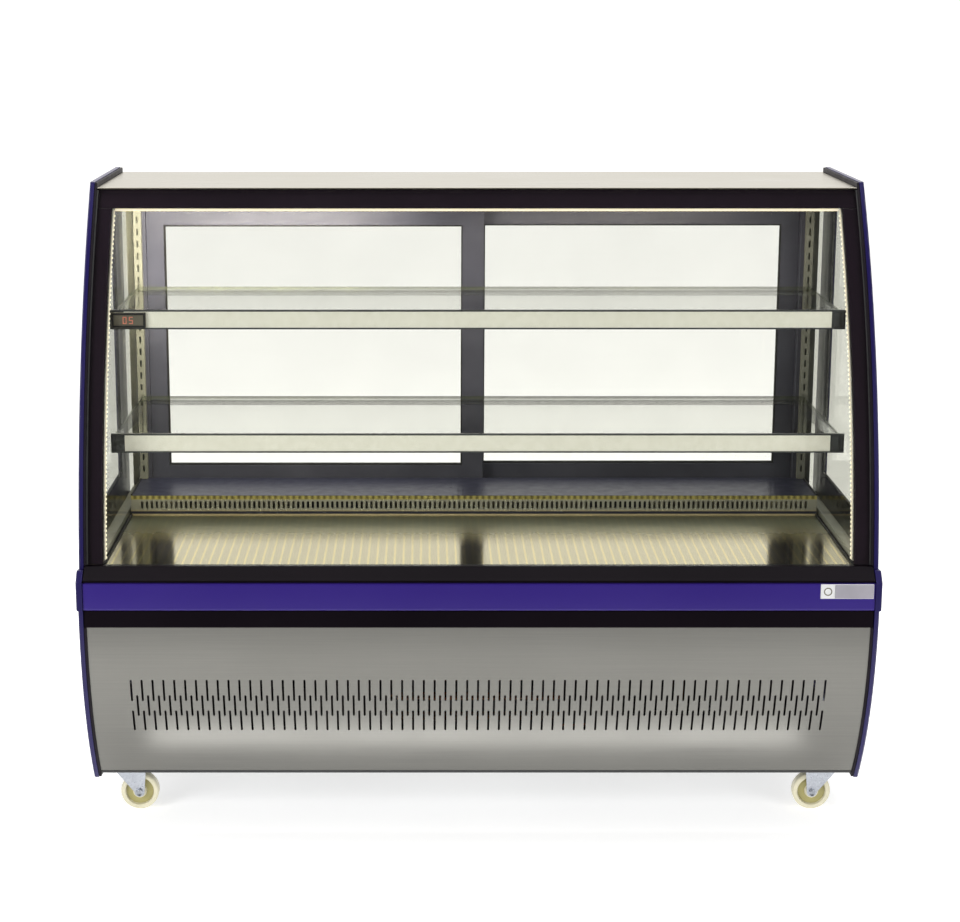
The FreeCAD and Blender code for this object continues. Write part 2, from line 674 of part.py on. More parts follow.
def front_window():
    """The curved pane, the frame behind it and the light bars along the frame."""
    edge = TRIM_INNER - FIT_GAP
    pane_back = dim("glass_inset") + dim("glass_thickness")
    pane = extruded("front_glass", "YZ", -edge, edge,
                    *upper_band(dim("glass_inset"), pane_back, dim("glass_bottom"), dim("glass_top")))
    frame_front = pane_back + dim("frame_gap")
    frame_back = frame_front + dim("frame_depth")
    stiles = []
    light_bars = []
    light_front = frame_front + dim("light_recess")
    light_back = light_front + dim("led_depth")
    for word, side in SIDES:
        outline = upper_band(frame_front, frame_back, dim("glass_bottom"), dim("top_bar_bottom") - FIT_GAP)
        stiles.append(extruded(f"stile_{word}", "YZ", *span(side, CLEAR_HALF, edge), *outline))
        outline = upper_band(light_front, light_back, dim("glass_bottom") + dim("light_foot_gap"),
                             dim("top_bar_bottom") - dim("light_head_gap"))
        channel = span(side, CLEAR_HALF - dim("led_width"), CLEAR_HALF - FIT_GAP)
        light_bars.append(extruded(f"side_light_{word}", "YZ", *channel, *outline))
    outline = upper_band(frame_front, frame_back, dim("top_bar_bottom"), dim("glass_top"))
    top_bar = extruded("top_bar", "YZ", -edge, edge, *outline)
    low, high = dim("sill_low"), dim("sill_high")
    back = behind_front("sill_back")
    nose = behind_front("sill_nose")
    slope = [(nose, low), (back, low), (back, high), (upper_y(high, 2), high),
             (nose, low + dim("sill_nose_height"))]
    sill_edge = PANEL_INNER - FIT_GAP
    sill = extruded("sill", "YZ", -sill_edge, sill_edge, slope)
    bar_top = dim("top_bar_bottom") - FIT_GAP
    top_front = light_back + dim("led_depth")
    outline = upper_band(top_front, top_front + dim("led_width"), bar_top - dim("led_depth"), bar_top)
    top_light = extruded("top_light", "YZ", -(CLEAR_HALF - 2), CLEAR_HALF - 2, *outline)
    frame = group("front_frame", stiles + [top_bar, sill])
    return [pane, frame, group("led_bars", light_bars + [top_light])]


def bumper_zone():
    """The bumper with its end caps, the black strip under it and the blank badge."""
    low, high = dim("bumper_bottom"), dim("bumper_top")
    front = FRONT + dim("cap_proud")
    edge = HALF_WIDTH - dim("cap_width") - FIT_GAP
    back = front + dim("bumper_thickness")
    bumper = extruded("bumper", "YZ", -edge, edge, rectangle(front, back, low, high))
    round_edges(bumper, dim("bumper_edge_radius"),
                lambda wire: abs(wire.BoundBox.YMax - front.value) < 0.01 and wire.Length > 100)
    caps = []
    cap_back = front + dim("cap_depth") - FIT_GAP
    for word, side in SIDES:
        top = dim("cap_top")
        outline = [(FRONT, low), (cap_back, low), (cap_back, top), (front + dim("cap_face"), top),
                   (FRONT, high + 2)]
        cap = extruded(f"cap_{word}", "YZ", *span(side, HALF_WIDTH - dim("cap_width"), HALF_WIDTH), outline)
        face = (HALF_WIDTH * side).value
        round_edges(cap, dim("panel_edge_radius"), lambda edge: on_face(edge, face))
        caps.append(cap)
    strip_edge = PANEL_INNER - FIT_GAP
    strip_front = front + dim("strip_setback")
    strip = extruded("lower_trim", "YZ", -strip_edge, strip_edge,
                     rectangle(strip_front, strip_front + dim("strip_thickness"), dim("lower_trim_bottom"),
                               low - FIT_GAP))
    half_badge = dim("badge_length") / 2
    badge_top = high - dim("badge_drop")
    badge = extruded("badge", "XZ", front - dim("badge_thickness"), front,
                     rectangle(dim("badge_x") - half_badge, dim("badge_x") + half_badge,
                               badge_top - dim("badge_height"), badge_top))
    return [bumper, group("bumper_end_caps", caps), strip, badge]


def slotted_skirt():
    """The curved sheet in front of the machinery, with three staggered rows of upright slots."""
    edge = TRIM_INNER - FIT_GAP
    inset = dim("skirt_inset")
    top = dim("lower_trim_bottom") - FIT_GAP
    skirt = extruded("front_grille_panel", "YZ", -edge, edge,
                     *lower_band(inset, inset + dim("sheet"), dim("skirt_bottom"), top))
    long_row = dim("slot_count")
    pitch = dim("slot_pitch")
    rows = (("upper", dim("slot_row_upper"), long_row), ("middle", dim("slot_row_middle"), long_row - 1),
            ("lower", dim("slot_row_lower"), long_row))
    for word, height, count in rows:
        first = -(count - 1) * pitch / 2
        outline = slot_outline(first, height, dim("slot_width"), dim("slot_length"))
        slot = cut_through(skirt, f"{word}_slot", "XZ", FRONT, FRONT + 150, *outline)
        repeat(skirt, slot, "X", count, pitch)
    return [skirt]


def roof():
    """The roof: a folded top sheet with a front lip, over a foam core."""
    edge = TRIM_INNER - FIT_GAP
    top = dim("roof_top")
    sheet_bottom = top - dim("roof_sheet")
    core_bottom = dim("roof_core_bottom")
    lip, core, back = behind_front("roof_front"), behind_front("roof_core_front"), REAR - 2
    outline = [(lip, top), (lip, sheet_bottom), (core, sheet_bottom), (core, core_bottom),
               (back, core_bottom), (back, top)]
    return [extruded("roof_panel", "YZ", -edge, edge, outline)]


# ---------------------------------------------------------------- display space

def display_floor():
    """The deck, the slotted air riser behind it and the foam tub under both."""
    edge = CLEAR_HALF - FIT_GAP
    sheet_gauge = dim("sheet")
    top = dim("deck_top")
    front, riser = behind_front("deck_front"), behind_front("riser_front")
    under = top - sheet_gauge
    lip_end = under - dim("deck_lip")
    outline = [(front, lip_end), (front + sheet_gauge, lip_end), (front + sheet_gauge, under),
               (riser - FIT_GAP, under), (riser - FIT_GAP, top), (front, top)]
    deck = extruded("deck", "YZ", -edge, edge, outline)
    riser_top = dim("riser_top")
    back = behind_front("rear_frame_front") - FIT_GAP
    outline = [(riser, under), (riser + sheet_gauge, under), (riser + sheet_gauge, riser_top - sheet_gauge),
               (back, riser_top - sheet_gauge), (back, riser_top), (riser, riser_top)]
    grille = extruded("rear_duct_grille", "YZ", -edge, edge, outline)
    first = -(dim("grille_slot_count") - 1) * dim("grille_slot_pitch") / 2
    outline = slot_outline(first, dim("grille_slot_z"), dim("grille_slot_width"), dim("grille_slot_length"))
    slot = cut_through(grille, "slot", "XZ", riser - 1, riser + sheet_gauge + 1, *outline)
    repeat(grille, slot, "X", dim("grille_slot_count"), dim("grille_slot_pitch"))
    wall_top = dim("sill_low") - 1.5
    tub_front = behind_front("tub_setback")
    tub_back = behind_front("rear_skin_y") - 8
    inner_front = tub_front + dim("tub_front_wall")
    wall_back = tub_back - dim("tub_rear_ledge")
    wall_front = wall_back - dim("tub_rear_wall")
    floor = dim("tub_floor")
    rear_wall_top = dim("deck_top") - 4
    outline = [(tub_front, dim("tub_bottom")), (tub_back, dim("tub_bottom")), (tub_back, floor),
               (wall_back, floor), (wall_back, rear_wall_top), (wall_front, rear_wall_top),
               (wall_front, floor), (inner_front, floor), (inner_front, wall_top), (tub_front, wall_top)]
    tub_edge = TRIM_INNER - FIT_GAP
    tub = extruded("insulated_tub", "YZ", -tub_edge, tub_edge, outline)
    return [deck, grille, tub]


def uprights():
    """Two slotted uprights in the rear corners."""
    low, high = dim("riser_top") + 1, dim("door_opening_top")
    back = behind_front("rear_frame_front") - 1
    front = back - dim("upright_depth")
    outer = CLEAR_HALF - 1
    posts = []
    for word, side in SIDES:
        x_low, x_high = span(side, outer - dim("upright_width"), outer)
        post = extruded(f"upright_{word}", "XZ", front, back, rectangle(x_low, x_high, low, high))
        middle = (x_low + x_high) / 2
        outline = slot_outline(middle, low + dim("upright_slot_start"), dim("upright_slot_width"),
                               dim("upright_slot_height"))
        slot = cut_through(post, "slot", "XZ", front, back - 4, *outline)
        repeat(post, slot, "Z", dim("upright_slot_count"), dim("upright_slot_pitch"))
        posts.append(post)
    return [group("shelf_uprights", posts)]


def shelf(word):
    """A glass shelf, its chrome frame, its price rail and the strip in the rail."""
    glass_top = dim(f"{word}_shelf_z")
    glass_bottom = glass_top - dim("shelf_glass_thickness")
    rail_front = behind_front(f"{word}_shelf_front")
    rail_back = rail_front + dim("rail_depth")
    tube_y = behind_front(f"{word}_shelf_rear")
    radius = dim("shelf_tube_radius")
    outer = dim("shelf_half_width")
    arm = dim("shelf_arm_thickness")
    upright_front = behind_front("rear_frame_front") - 1 - dim("upright_depth")
    glass = box(f"{word}_shelf_glass", (-(outer - arm - 1), outer - arm - 1),
                (rail_back + 1, tube_y + radius), (glass_bottom, glass_top))
    pieces = []
    tube_z = glass_bottom - radius - FIT_GAP
    for end, y in (("front", rail_back + radius + 3), ("rear", tube_y)):
        pieces.append(rod(f"{word}_{end}_tube", "X", -(outer - arm), y, tube_z, radius, (outer - arm) * 2))
    arm_low = glass_bottom - dim("shelf_arm_height")
    for end, side in SIDES:
        outline = [(rail_back + 1, glass_bottom - 14), (upright_front - FIT_GAP, arm_low - 12),
                   (upright_front - FIT_GAP, glass_bottom + 8), (tube_y + 8, glass_top),
                   (rail_back + 1, glass_top)]
        pieces.append(extruded(f"{word}_arm_{end}", "YZ", *span(side, outer - arm, outer), outline))
    frame = group(f"{word}_shelf_frame", pieces)
    rail_top = glass_top + dim("rail_over_glass")
    rail_bottom = rail_top - dim("rail_height")
    wall = dim("rail_wall")
    lip = dim("rail_lip")
    seat = rail_front + dim("rail_seat")
    outline = [(rail_front, rail_bottom), (rail_back, rail_bottom), (rail_back, rail_top),
               (rail_front, rail_top), (rail_front, rail_top - lip), (rail_front + wall, rail_top - lip),
               (rail_front + wall, rail_top - wall), (seat, rail_top - wall), (seat, rail_bottom + wall),
               (rail_front + wall, rail_bottom + wall), (rail_front + wall, rail_bottom + lip),
               (rail_front, rail_bottom + lip)]
    rail = extruded(f"{word}_rail", "YZ", -dim("rail_half_length"), dim("rail_half_length"), outline)
    strip_half = dim("rail_half_length") - dim("rail_end_margin")
    strip = box(f"{word}_insert", (-strip_half, strip_half), (rail_front + wall + 0.2, seat - 0.1),
                (rail_bottom + wall + 0.2, rail_top - wall - 0.2))
    return glass, frame, rail, strip


def shelves():
    """Both shelves and the thermometer on the upper price rail."""
    nodes = []
    rails = []
    strips = []
    for word in ("upper", "lower"):
        glass, frame, rail, strip = shelf(word)
        nodes += [glass, frame]
        rails.append(rail)
        strips.append(strip)
    left = -(dim("rail_half_length") - 3)
    front = behind_front("upper_shelf_front")
    low = dim("upper_shelf_z") - dim("rail_height") + 6
    right, high = left + dim("thermometer_length"), low + dim("thermometer_height")
    thermometer = extruded("thermometer", "XZ", front - dim("thermometer_depth"), front - 0.2,
                           rectangle(left, right, low, high))
    face = (front - dim("thermometer_depth")).value
    round_edges(thermometer, 1.5, lambda wire: abs(wire.BoundBox.YMax - face) < 0.01)
    return nodes + [group("price_rails", rails), group("price_inserts", strips), thermometer]


# ---------------------------------------------------------------- rear

def door_y(word):
    """Low and high Y of the left, inner door or the right, outer door."""
    middle = behind_front("inner_door_y") if word == "left" else behind_front("outer_door_y")
    return middle - dim("door_thickness") / 2, middle + dim("door_thickness") / 2


def rear_opening():
    """The rear frame: a head and a sill with two grooves each, and two jambs."""
    edge = CLEAR_HALF - FIT_GAP
    front, back = behind_front("rear_frame_front"), behind_front("rear_frame_back")
    head_low, head_high = dim("door_opening_top"), dim("roof_core_bottom") - FIT_GAP
    sill_low, sill_high = dim("deck_top") - 2, dim("door_opening_bottom")
    head = extruded("rear_head", "YZ", -edge, edge, rectangle(front, back, head_low, head_high))
    sill = extruded("rear_sill", "YZ", -edge, edge, rectangle(front, back, sill_low, sill_high))
    gap = dim("track_clearance")
    for word in ("left", "right"):
        low, high = door_y(word)
        groove = rectangle(low - gap, high + gap, head_low, head_low + dim("track_depth"))
        cut_through(head, f"{word}_groove", "YZ", -edge, edge, groove)
        groove = rectangle(low - gap, high + gap, sill_high - dim("sill_groove_depth"), sill_high)
        cut_through(sill, f"{word}_groove", "YZ", -edge, edge, groove)
    pieces = [head, sill]
    for word, side in SIDES:
        pieces.append(box(f"jamb_{word}", span(side, edge - dim("jamb_width"), edge), (front, back),
                          (sill_high, head_low)))
    return [group("rear_frame", pieces)]


def sliding_door(word, side):
    """A door: four extrusions round a pane. The outer stile has a finger groove on its rear face."""
    low_y, high_y = door_y(word)
    outer = CLEAR_HALF - FIT_GAP - dim("jamb_width") - FIT_GAP
    half_meeting = dim("meeting_stile") / 2
    bottom = dim("door_opening_bottom") - dim("sill_groove_depth") + dim("door_sill_gap")
    top = dim("door_opening_top") + dim("track_depth") - dim("door_head_gap")
    glass_low, glass_high = dim("door_glass_bottom"), dim("door_glass_top")
    stile = extruded(f"{word}_outer_stile", "XZ", low_y, high_y,
                     rectangle(*span(side, outer - dim("door_stile"), outer), bottom, top))
    middle = (outer - dim("door_stile") / 2) * side
    outline = slot_outline(middle, (glass_low + glass_high) / 2, dim("finger_groove_width"),
                           dim("finger_groove_height"))
    cut_through(stile, "finger_groove", "XZ", high_y - dim("finger_groove_depth"), high_y, *outline)
    meeting = box(f"{word}_meeting_stile", (-half_meeting, half_meeting), (low_y, high_y), (bottom, top))
    rail_span = span(side, half_meeting, outer - dim("door_stile"))
    bottom_rail = box(f"{word}_bottom_rail", rail_span, (low_y, high_y), (bottom, glass_low))
    top_rail = box(f"{word}_top_rail", rail_span, (low_y, high_y), (glass_high, top))
    frame = group(f"{word}_door_frame", [stile, meeting, bottom_rail, top_rail])
    inset = (dim("door_thickness") - dim("glass_thickness")) / 2
    pane = box(f"{word}_door_glass", rail_span, (low_y + inset, high_y - inset), (glass_low, glass_high))
    return [frame, pane]


SWITCH_X = {"power": 460, "light": 510}
SWITCH_SIZE = (13.5, 21)


def rear_panels():
    """The louvred service panel, the control panel over it and what they hold."""
    edge = PANEL_INNER - FIT_GAP
    front = behind_front("rear_skin_y")
    back = front + dim("sheet")
    low, high = dim("base_bottom") + 4, dim("fascia_bottom") - 1
    service = extruded("rear_service_panel", "XZ", front, back, rectangle(-edge, edge, low, high))
    for column in ("inner", "outer"):
        for word, side in SIDES:
            outline = flat_slot_outline(dim(f"{column}_louvre_x") * side, low + dim("louvre_start"),
                                        dim("louvre_width"), dim("louvre_length"))
            slot = cut_through(service, f"{column}_{word}_louvre", "XZ", front - 1, back + 1, *outline)
            repeat(service, slot, "Z", dim("louvre_count"), dim("louvre_pitch"))
    gland_x, gland_z = dim("gland_x"), dim("gland_z")
    cut_through(service, "gland_hole", "XZ", front - 1, back + 1, circle=(gland_x, gland_z, 10))
    gland_nut = rod("gland_nut", "Y", gland_x, back, gland_z, 14, 6)
    gland_body = rod("gland_body", "Y", gland_x, front - 10, gland_z, 9.9, 22)
    gland_dome = remaining("cord_gland", joined("gland_outside", [gland_nut, gland_body]),
                           [rod("gland_bore", "Y", gland_x, front - 11, gland_z, 4.5, 24)])
    panel_low, panel_high = dim("fascia_bottom"), dim("deck_top") - 2.5
    fascia = extruded("control_panel", "XZ", front, back, rectangle(-edge, edge, panel_low, panel_high))
    middle = (panel_low + panel_high) / 2
    controller_x = dim("controller_x")
    case_width, case_height = dim("controller_case_width") / 2, dim("controller_case_height") / 2
    bezel_width, bezel_height = dim("controller_width") / 2, dim("controller_height") / 2
    hole_width, hole_height = case_width + FIT_GAP, case_height + FIT_GAP
    cut_through(fascia, "controller_hole", "XZ", front - 1, back + 1,
                rectangle(controller_x - hole_width, controller_x + hole_width,
                          middle - hole_height, middle + hole_height))
    half_switch, half_height = SWITCH_SIZE
    for word, x in SWITCH_X.items():
        cut_through(fascia, f"{word}_hole", "XZ", front - 1, back + 1,
                    rectangle(x - half_switch, x + half_switch, middle - half_height, middle + half_height))
    controller = joined("temperature_controller", [
        box("controller_bezel", (controller_x - bezel_width, controller_x + bezel_width), (back, back + 6),
            (middle - bezel_height, middle + bezel_height)),
        box("controller_case", (controller_x - case_width, controller_x + case_width),
            (front - dim("controller_case_depth"), back), (middle - case_height, middle + case_height))])
    screws = []
    places = [(x, z) for x in (-715, -240, 240, 715) for z in (low.value + 14, high.value - 10)]
    places += [(x, middle.value) for x in (-722, -240, 240, 722)]
    for number, (x, z) in enumerate(places):
        screws.append(rod(f"screw_{number}", "Y", x, back, z, 5, 2.5))
    return [service, gland_dome, fascia, controller, group("panel_screws", screws)]


def rocker_switch(word):
    """A rocker that tips about the round pivots at its middle, in the control panel's opening."""
    x = SWITCH_X[word]
    middle = (dim("fascia_bottom") + dim("deck_top") - 2.5) / 2
    half_width, half_height = SWITCH_SIZE[0] - 1, SWITCH_SIZE[1] - 2.5
    front = behind_front("rear_skin_y")
    back = front + dim("sheet")
    outline = [(front - 8, middle - 9), (front - 8, middle + 9), (back + 1, middle + half_height),
               (back + 5, middle + half_height), (back + 3, middle), (back + 5, middle - half_height),
               (back + 1, middle - half_height)]
    body = extruded(f"{word}_rocker_body", "YZ", x - half_width, x + half_width, outline)
    pivot_reach = half_width + 0.4
    pivot = rod(f"{word}_pivot", "X", x - pivot_reach, front, middle, 2.5, pivot_reach * 2)
    return joined(f"{word}_switch", [body, pivot])


# ---------------------------------------------------------------- base and machinery

def square_tube(name, axis, x, y, z):
    """A square tube along X or Y."""
    wall = dim("tube_wall")
    outside = box(f"{name}_outside", x, y, z)
    inner_x = x if axis == "X" else (x[0] + wall, x[1] - wall)
    inner_y = y if axis == "Y" else (y[0] + wall, y[1] - wall)
    inside = box(f"{name}_inside", inner_x, inner_y, (z[0] + wall, z[1] - wall))
    return remaining(name, outside, [inside])


def base():
    """The base frame's tubes and the tray that lies on them."""
    low = dim("base_bottom")
    high = low + dim("tube_size")
    tube = dim("tube_size")
    edge = TRIM_INNER - FIT_GAP
    front, back = behind_front("base_front"), REAR - dim("base_back")
    tubes = [square_tube("front_tube", "X", (-edge, edge), (front, front + tube), (low, high)),
             square_tube("rear_tube", "X", (-edge, edge), (back - tube, back), (low, high))]
    for pair in ("inner", "outer"):
        for word, side in SIDES:
            middle = dim(f"{pair}_cross_x") * side
            x, y = (middle - tube / 2, middle + tube / 2), (front + tube, back - tube)
            tubes.append(square_tube(f"{pair}_cross_{word}", "Y", x, y, (low, high)))
    gauge = dim("sheet")
    tray_front, tray_back = behind_front("tray_front"), REAR - dim("tray_back")
    front_lip, rear_lip = high + dim("tray_front_lip"), high + dim("tray_rear_lip")
    outline = [(tray_front, high), (tray_back, high), (tray_back, rear_lip), (tray_back - gauge, rear_lip),
               (tray_back - gauge, high + gauge), (tray_front + gauge, high + gauge),
               (tray_front + gauge, front_lip), (tray_front, front_lip)]
    tray = extruded("base_tray", "YZ", -edge, edge, outline)
    return [group("base_frame", tubes), tray]


TRAY_TOP = dim("base_bottom") + dim("tube_size") + dim("sheet")


def compressor():
    """A hermetic compressor: a domed shell on three feet, with its terminal box."""
    radius, height = dim("compressor_radius"), dim("compressor_height")
    x, y = dim("compressor_x"), dim("compressor_y")
    bottom = TRAY_TOP + dim("compressor_lift")
    dome = dim("compressor_dome")
    rim = height - dome
    outline = [(0, 0), (radius * 0.8, 0), (radius, 20), (radius, rim), (0, height)]
    shell_radius = (radius.value ** 2 + dome.value ** 2) / (2 * dome.value)
    turn = math.asin(radius.value / shell_radius) / 2
    arcs = {3: ((shell_radius * math.sin(turn), height.value - shell_radius * (1 - math.cos(turn))),
                (radius * radius + dome * dome) / (dome * 2))}
    shell = place(turned("compressor_shell", outline, arcs), x, y, bottom)
    feet = [box("compressor_foot", (x - 100, x + 100), (y - 70, y + 70), (bottom - 4, bottom))]
    for number, (dx, dy) in enumerate(((-85, -55), (-85, 55), (85, -55), (85, 55))):
        feet.append(rod(f"compressor_grommet_{number}", "Z", x + dx, y + dy, TRAY_TOP, 11, 12))
    terminal = box("compressor_terminals", (x + radius - 12, x + radius + 34), (y - 26, y + 26),
                   (bottom + 60, bottom + 130))
    return [joined("compressor", [shell, terminal] + feet)]


def condenser():
    """The finned coil behind the skirt, and the fan plate behind the coil."""
    half = dim("coil_width") / 2
    y = dim("coil_y")
    low = TRAY_TOP + 4
    high = low + dim("coil_height")
    depth = dim("coil_depth") / 2
    fin_half = half - 6
    fins = box("condenser_fins", (-fin_half, fin_half), (y - depth + 4, y + depth - 4), (low + 4, high - 4))
    plates = [box(f"condenser_plate_{word}", span(side, fin_half, half - 4), (y - depth, y + depth),
                  (TRAY_TOP, high))
              for word, side in SIDES]
    bends = []
    for row in range(6):
        z = low + 25 + row * 40
        for word, side in SIDES:
            x_low, x_high = span(side, half - 4, half + 8)
            bends.append(rod(f"condenser_bend_{row}_{word}", "X", x_low, y, z, 4.5, 12))
    coil = joined("condenser_coil", [fins] + plates + bends)
    ring_y = y + depth + 3
    ring_radius = dim("fan_ring_radius")
    middle = (low + high) / 2
    plate = box("shroud_plate", (-(half - 10), half - 10), (ring_y, ring_y + 3), (TRAY_TOP, high))
    collar = rod("shroud_collar", "Y", 0, ring_y, middle, ring_radius + 2, 34)
    hole = rod("shroud_hole", "Y", 0, ring_y - 1, middle, ring_radius, 40)
    shroud = remaining("shroud", joined("shroud_outside", [plate, collar]), [hole])
    motor = rod("fan_motor", "Y", 0, ring_y + 44, middle, 38, 48)
    arms = [box(f"motor_arm_{number}", (x - 5, x + 5), (ring_y + 78, ring_y + 82), (TRAY_TOP, high))
            for number, x in enumerate((-20, 20))]
    motor_stand = joined("motor_stand", [motor] + arms)
    return [coil, group("condenser_fan_shroud", [shroud, motor_stand])]


def fan_rotor(label, tip, hub, depth, blades, pitch_angle):
    """A hub with tilted blades that turns about Z, centred on the origin."""
    pieces = [rod(f"{label}_hub", "Z", 0, 0, -depth / 2, hub, depth)]
    tip = size(tip)
    for number in range(blades):
        blade = doc.addObject("Part::Box", f"{label}_blade_{number}")
        blade.setExpression("Length", (tip - hub + 3).formula)
        blade.Width = (tip.value - hub) * 0.75
        blade.Height = 1.5
        tilt = Rotation(Vector(1, 0, 0), pitch_angle)
        turn = Rotation(Vector(0, 0, 1), 360 * number / blades)
        corner = Vector(hub - 3, -blade.Width.Value / 2, -0.75)
        blade.Placement = FreeCAD.Placement(Vector(), turn * tilt) * FreeCAD.Placement(corner, Rotation())
        pieces.append(blade)
    rough = joined(f"{label}_rough", pieces)
    envelope = rod(f"{label}_envelope", "Z", 0, 0, -depth, tip, depth * 2)
    trimmed = doc.addObject("Part::Common", label)
    trimmed.Base = rough
    trimmed.Tool = envelope
    return trimmed


def fans():
    """The condenser fan and the two evaporator fans, with the frames of the small ones."""
    ring_y = dim("coil_y") + dim("coil_depth") / 2 + 3
    middle = TRAY_TOP + 4 + dim("coil_height") / 2
    big = fan_rotor("condenser_fan_rotor", dim("fan_radius"), 30, 26, 5, 28)
    place(big, 0, ring_y + 22, middle, Rotation(Vector(1, 0, 0), -90))
    nodes = [big]
    frames = []
    half = dim("small_fan_size") / 2
    y = dim("small_fan_y")
    low = dim("riser_top") - dim("sheet") - 3 - dim("small_fan_depth")
    high = low + dim("small_fan_depth")
    for word, side in SIDES:
        x = dim("small_fan_x") * side
        shell = box(f"small_fan_shell_{word}", (x - half, x + half), (y - half, y + half), (low, high))
        hole = rod(f"small_fan_hole_{word}", "Z", x, y, low - 1, half - 4, dim("small_fan_depth") + 2)
        ring = remaining(f"small_fan_ring_{word}", shell, [hole])
        strut = box(f"small_fan_strut_{word}", (x - half + 2, x + half - 2), (y - 5, y + 5), (low, low + 3))
        frames.append(joined(f"small_fan_frame_{word}", [ring, strut]))
        rotor = fan_rotor(f"evaporator_fan_rotor_{word}", half - 6, 19, 14, 7, 35)
        nodes.append(place(rotor, x, y, low + 14))
    return nodes + [group("evaporator_fan_frames", frames)]


def evaporator():
    """The finned evaporator in the tub, and the tray that collects its water in the base."""
    floor = dim("tub_floor") + 4
    high = dim("deck_top") - 6
    half = dim("evaporator_half")
    front, back = dim("evaporator_front"), dim("evaporator_back")
    fins = box("evaporator_fins", (-half, half), (front, back), (floor, high))
    ends = [box(f"evaporator_end_{word}", span(side, half, half + 2), (front - 5, back + 5),
                (dim("tub_floor"), high))
            for word, side in SIDES]
    coil = joined("evaporator_coil", [fins] + ends)
    wall = dim("water_tray_wall")
    rim = TRAY_TOP + dim("water_tray_height")
    x_low, x_high = dim("water_tray_left"), dim("water_tray_right")
    y_low, y_high = dim("water_tray_front"), dim("water_tray_back")
    outside = box("tray_outside", (x_low, x_high), (y_low, y_high), (TRAY_TOP, rim))
    inside = box("tray_inside", (x_low + wall, x_high - wall), (y_low + wall, y_high - wall),
                 (TRAY_TOP + wall, rim + 2))
    return [coil, remaining("condensate_tray", outside, [inside])]


def bent_pipe(name, corners, radius, bend):
    """A round pipe through the corners, with an arc at each of them."""
    points = [Vector(*corner) for corner in corners]
    edges = []
    start = points[0]
    for before, corner, after in zip(points, points[1:], points[2:]):
        incoming = (corner - before).normalize()
        outgoing = (after - corner).normalize()
        half_turn = incoming.getAngle(outgoing) / 2
        setback = bend * math.tan(half_turn)
        arc_start = corner - incoming * setback
        arc_end = corner + outgoing * setback
        inward = (outgoing - incoming).normalize()
        centre = corner + inward * (bend / math.cos(half_turn))
        arc_middle = centre - inward * bend
        edges.append(Part.LineSegment(start, arc_start).toShape())
        edges.append(Part.Arc(arc_start, arc_middle, arc_end).toShape())
        start = arc_end
    edges.append(Part.LineSegment(start, points[-1]).toShape())
    path = Part.Wire(edges)
    direction = (points[1] - points[0]).normalize()
    section = Part.Wire([Part.Circle(points[0], direction, radius).toShape()])
    pipe = doc.addObject("Part::Feature", name)
    pipe.Shape = path.makePipeShell([section], True, False)
    expected = math.pi * radius ** 2 * path.Length
    if abs(pipe.Shape.Volume - expected) > expected * 0.01:
        raise RuntimeError(f"{name} has the wrong volume")
    return pipe


def pipes():
    """Copper pipes: compressor to condenser, condenser to evaporator and back to the compressor."""
    radius, bend = dim("pipe_radius").value, dim("pipe_bend").value
    x, y = dim("compressor_x").value, dim("compressor_y").value
    reach = dim("compressor_radius").value
    coil_y = dim("coil_y").value
    coil_end = dim("coil_width").value / 2 + 8
    low = TRAY_TOP.value + 29
    tub = dim("tub_bottom").value
    discharge = bent_pipe("discharge_pipe", [
        (x, y - reach, low + 60), (x, coil_y, low + 60), (x, coil_y, low + 180),
        (coil_end, coil_y, low + 180)], radius, bend)
    liquid = bent_pipe("liquid_pipe", [
        (coil_end, coil_y, low + 20), (coil_end + 60, coil_y, low + 20), (coil_end + 60, coil_y, tub)],
        radius * 0.7, bend)
    suction = bent_pipe("suction_pipe", [
        (x, y + 40, tub), (x, y + 40, tub - 60), (x, y + reach + 60, tub - 60),
        (x, y + reach + 60, low + 30), (x, y + reach, low + 30)], radius * 1.2, bend)
    return [group("refrigerant_pipes", [discharge, liquid, suction])]


# ---------------------------------------------------------------- casters

def caster_tops():
    """Four mounting plates, each with the race that its fork swivels in."""
    tops = []
    for row in ("front", "rear"):
        y = behind_front(f"{row}_caster_y")
        for word, side in SIDES:
            x = dim("caster_x") * side
            high = dim("base_bottom")
            half_length, half_width = dim("plate_length") / 2, dim("plate_width") / 2
            gauge, race_height = dim("plate_thickness"), dim("race_height")
            plate = box(f"{row}_{word}_plate", (x - half_length, x + half_length),
                        (y - half_width, y + half_width), (high - gauge, high))
            race_low = high - gauge - race_height + 1
            race = rod(f"{row}_{word}_race", "Z", x, y, race_low, dim("race_radius"), race_height)
            bore_radius = dim("kingpin_radius") + dim("running_gap")
            bore = rod(f"{row}_{word}_bore", "Z", x, y, race_low - 1, bore_radius, race_height)
            tops.append(remaining(f"{row}_{word}_top", joined(f"{row}_{word}_blank", [plate, race]), [bore]))
    return [group("caster_plates", tops)]


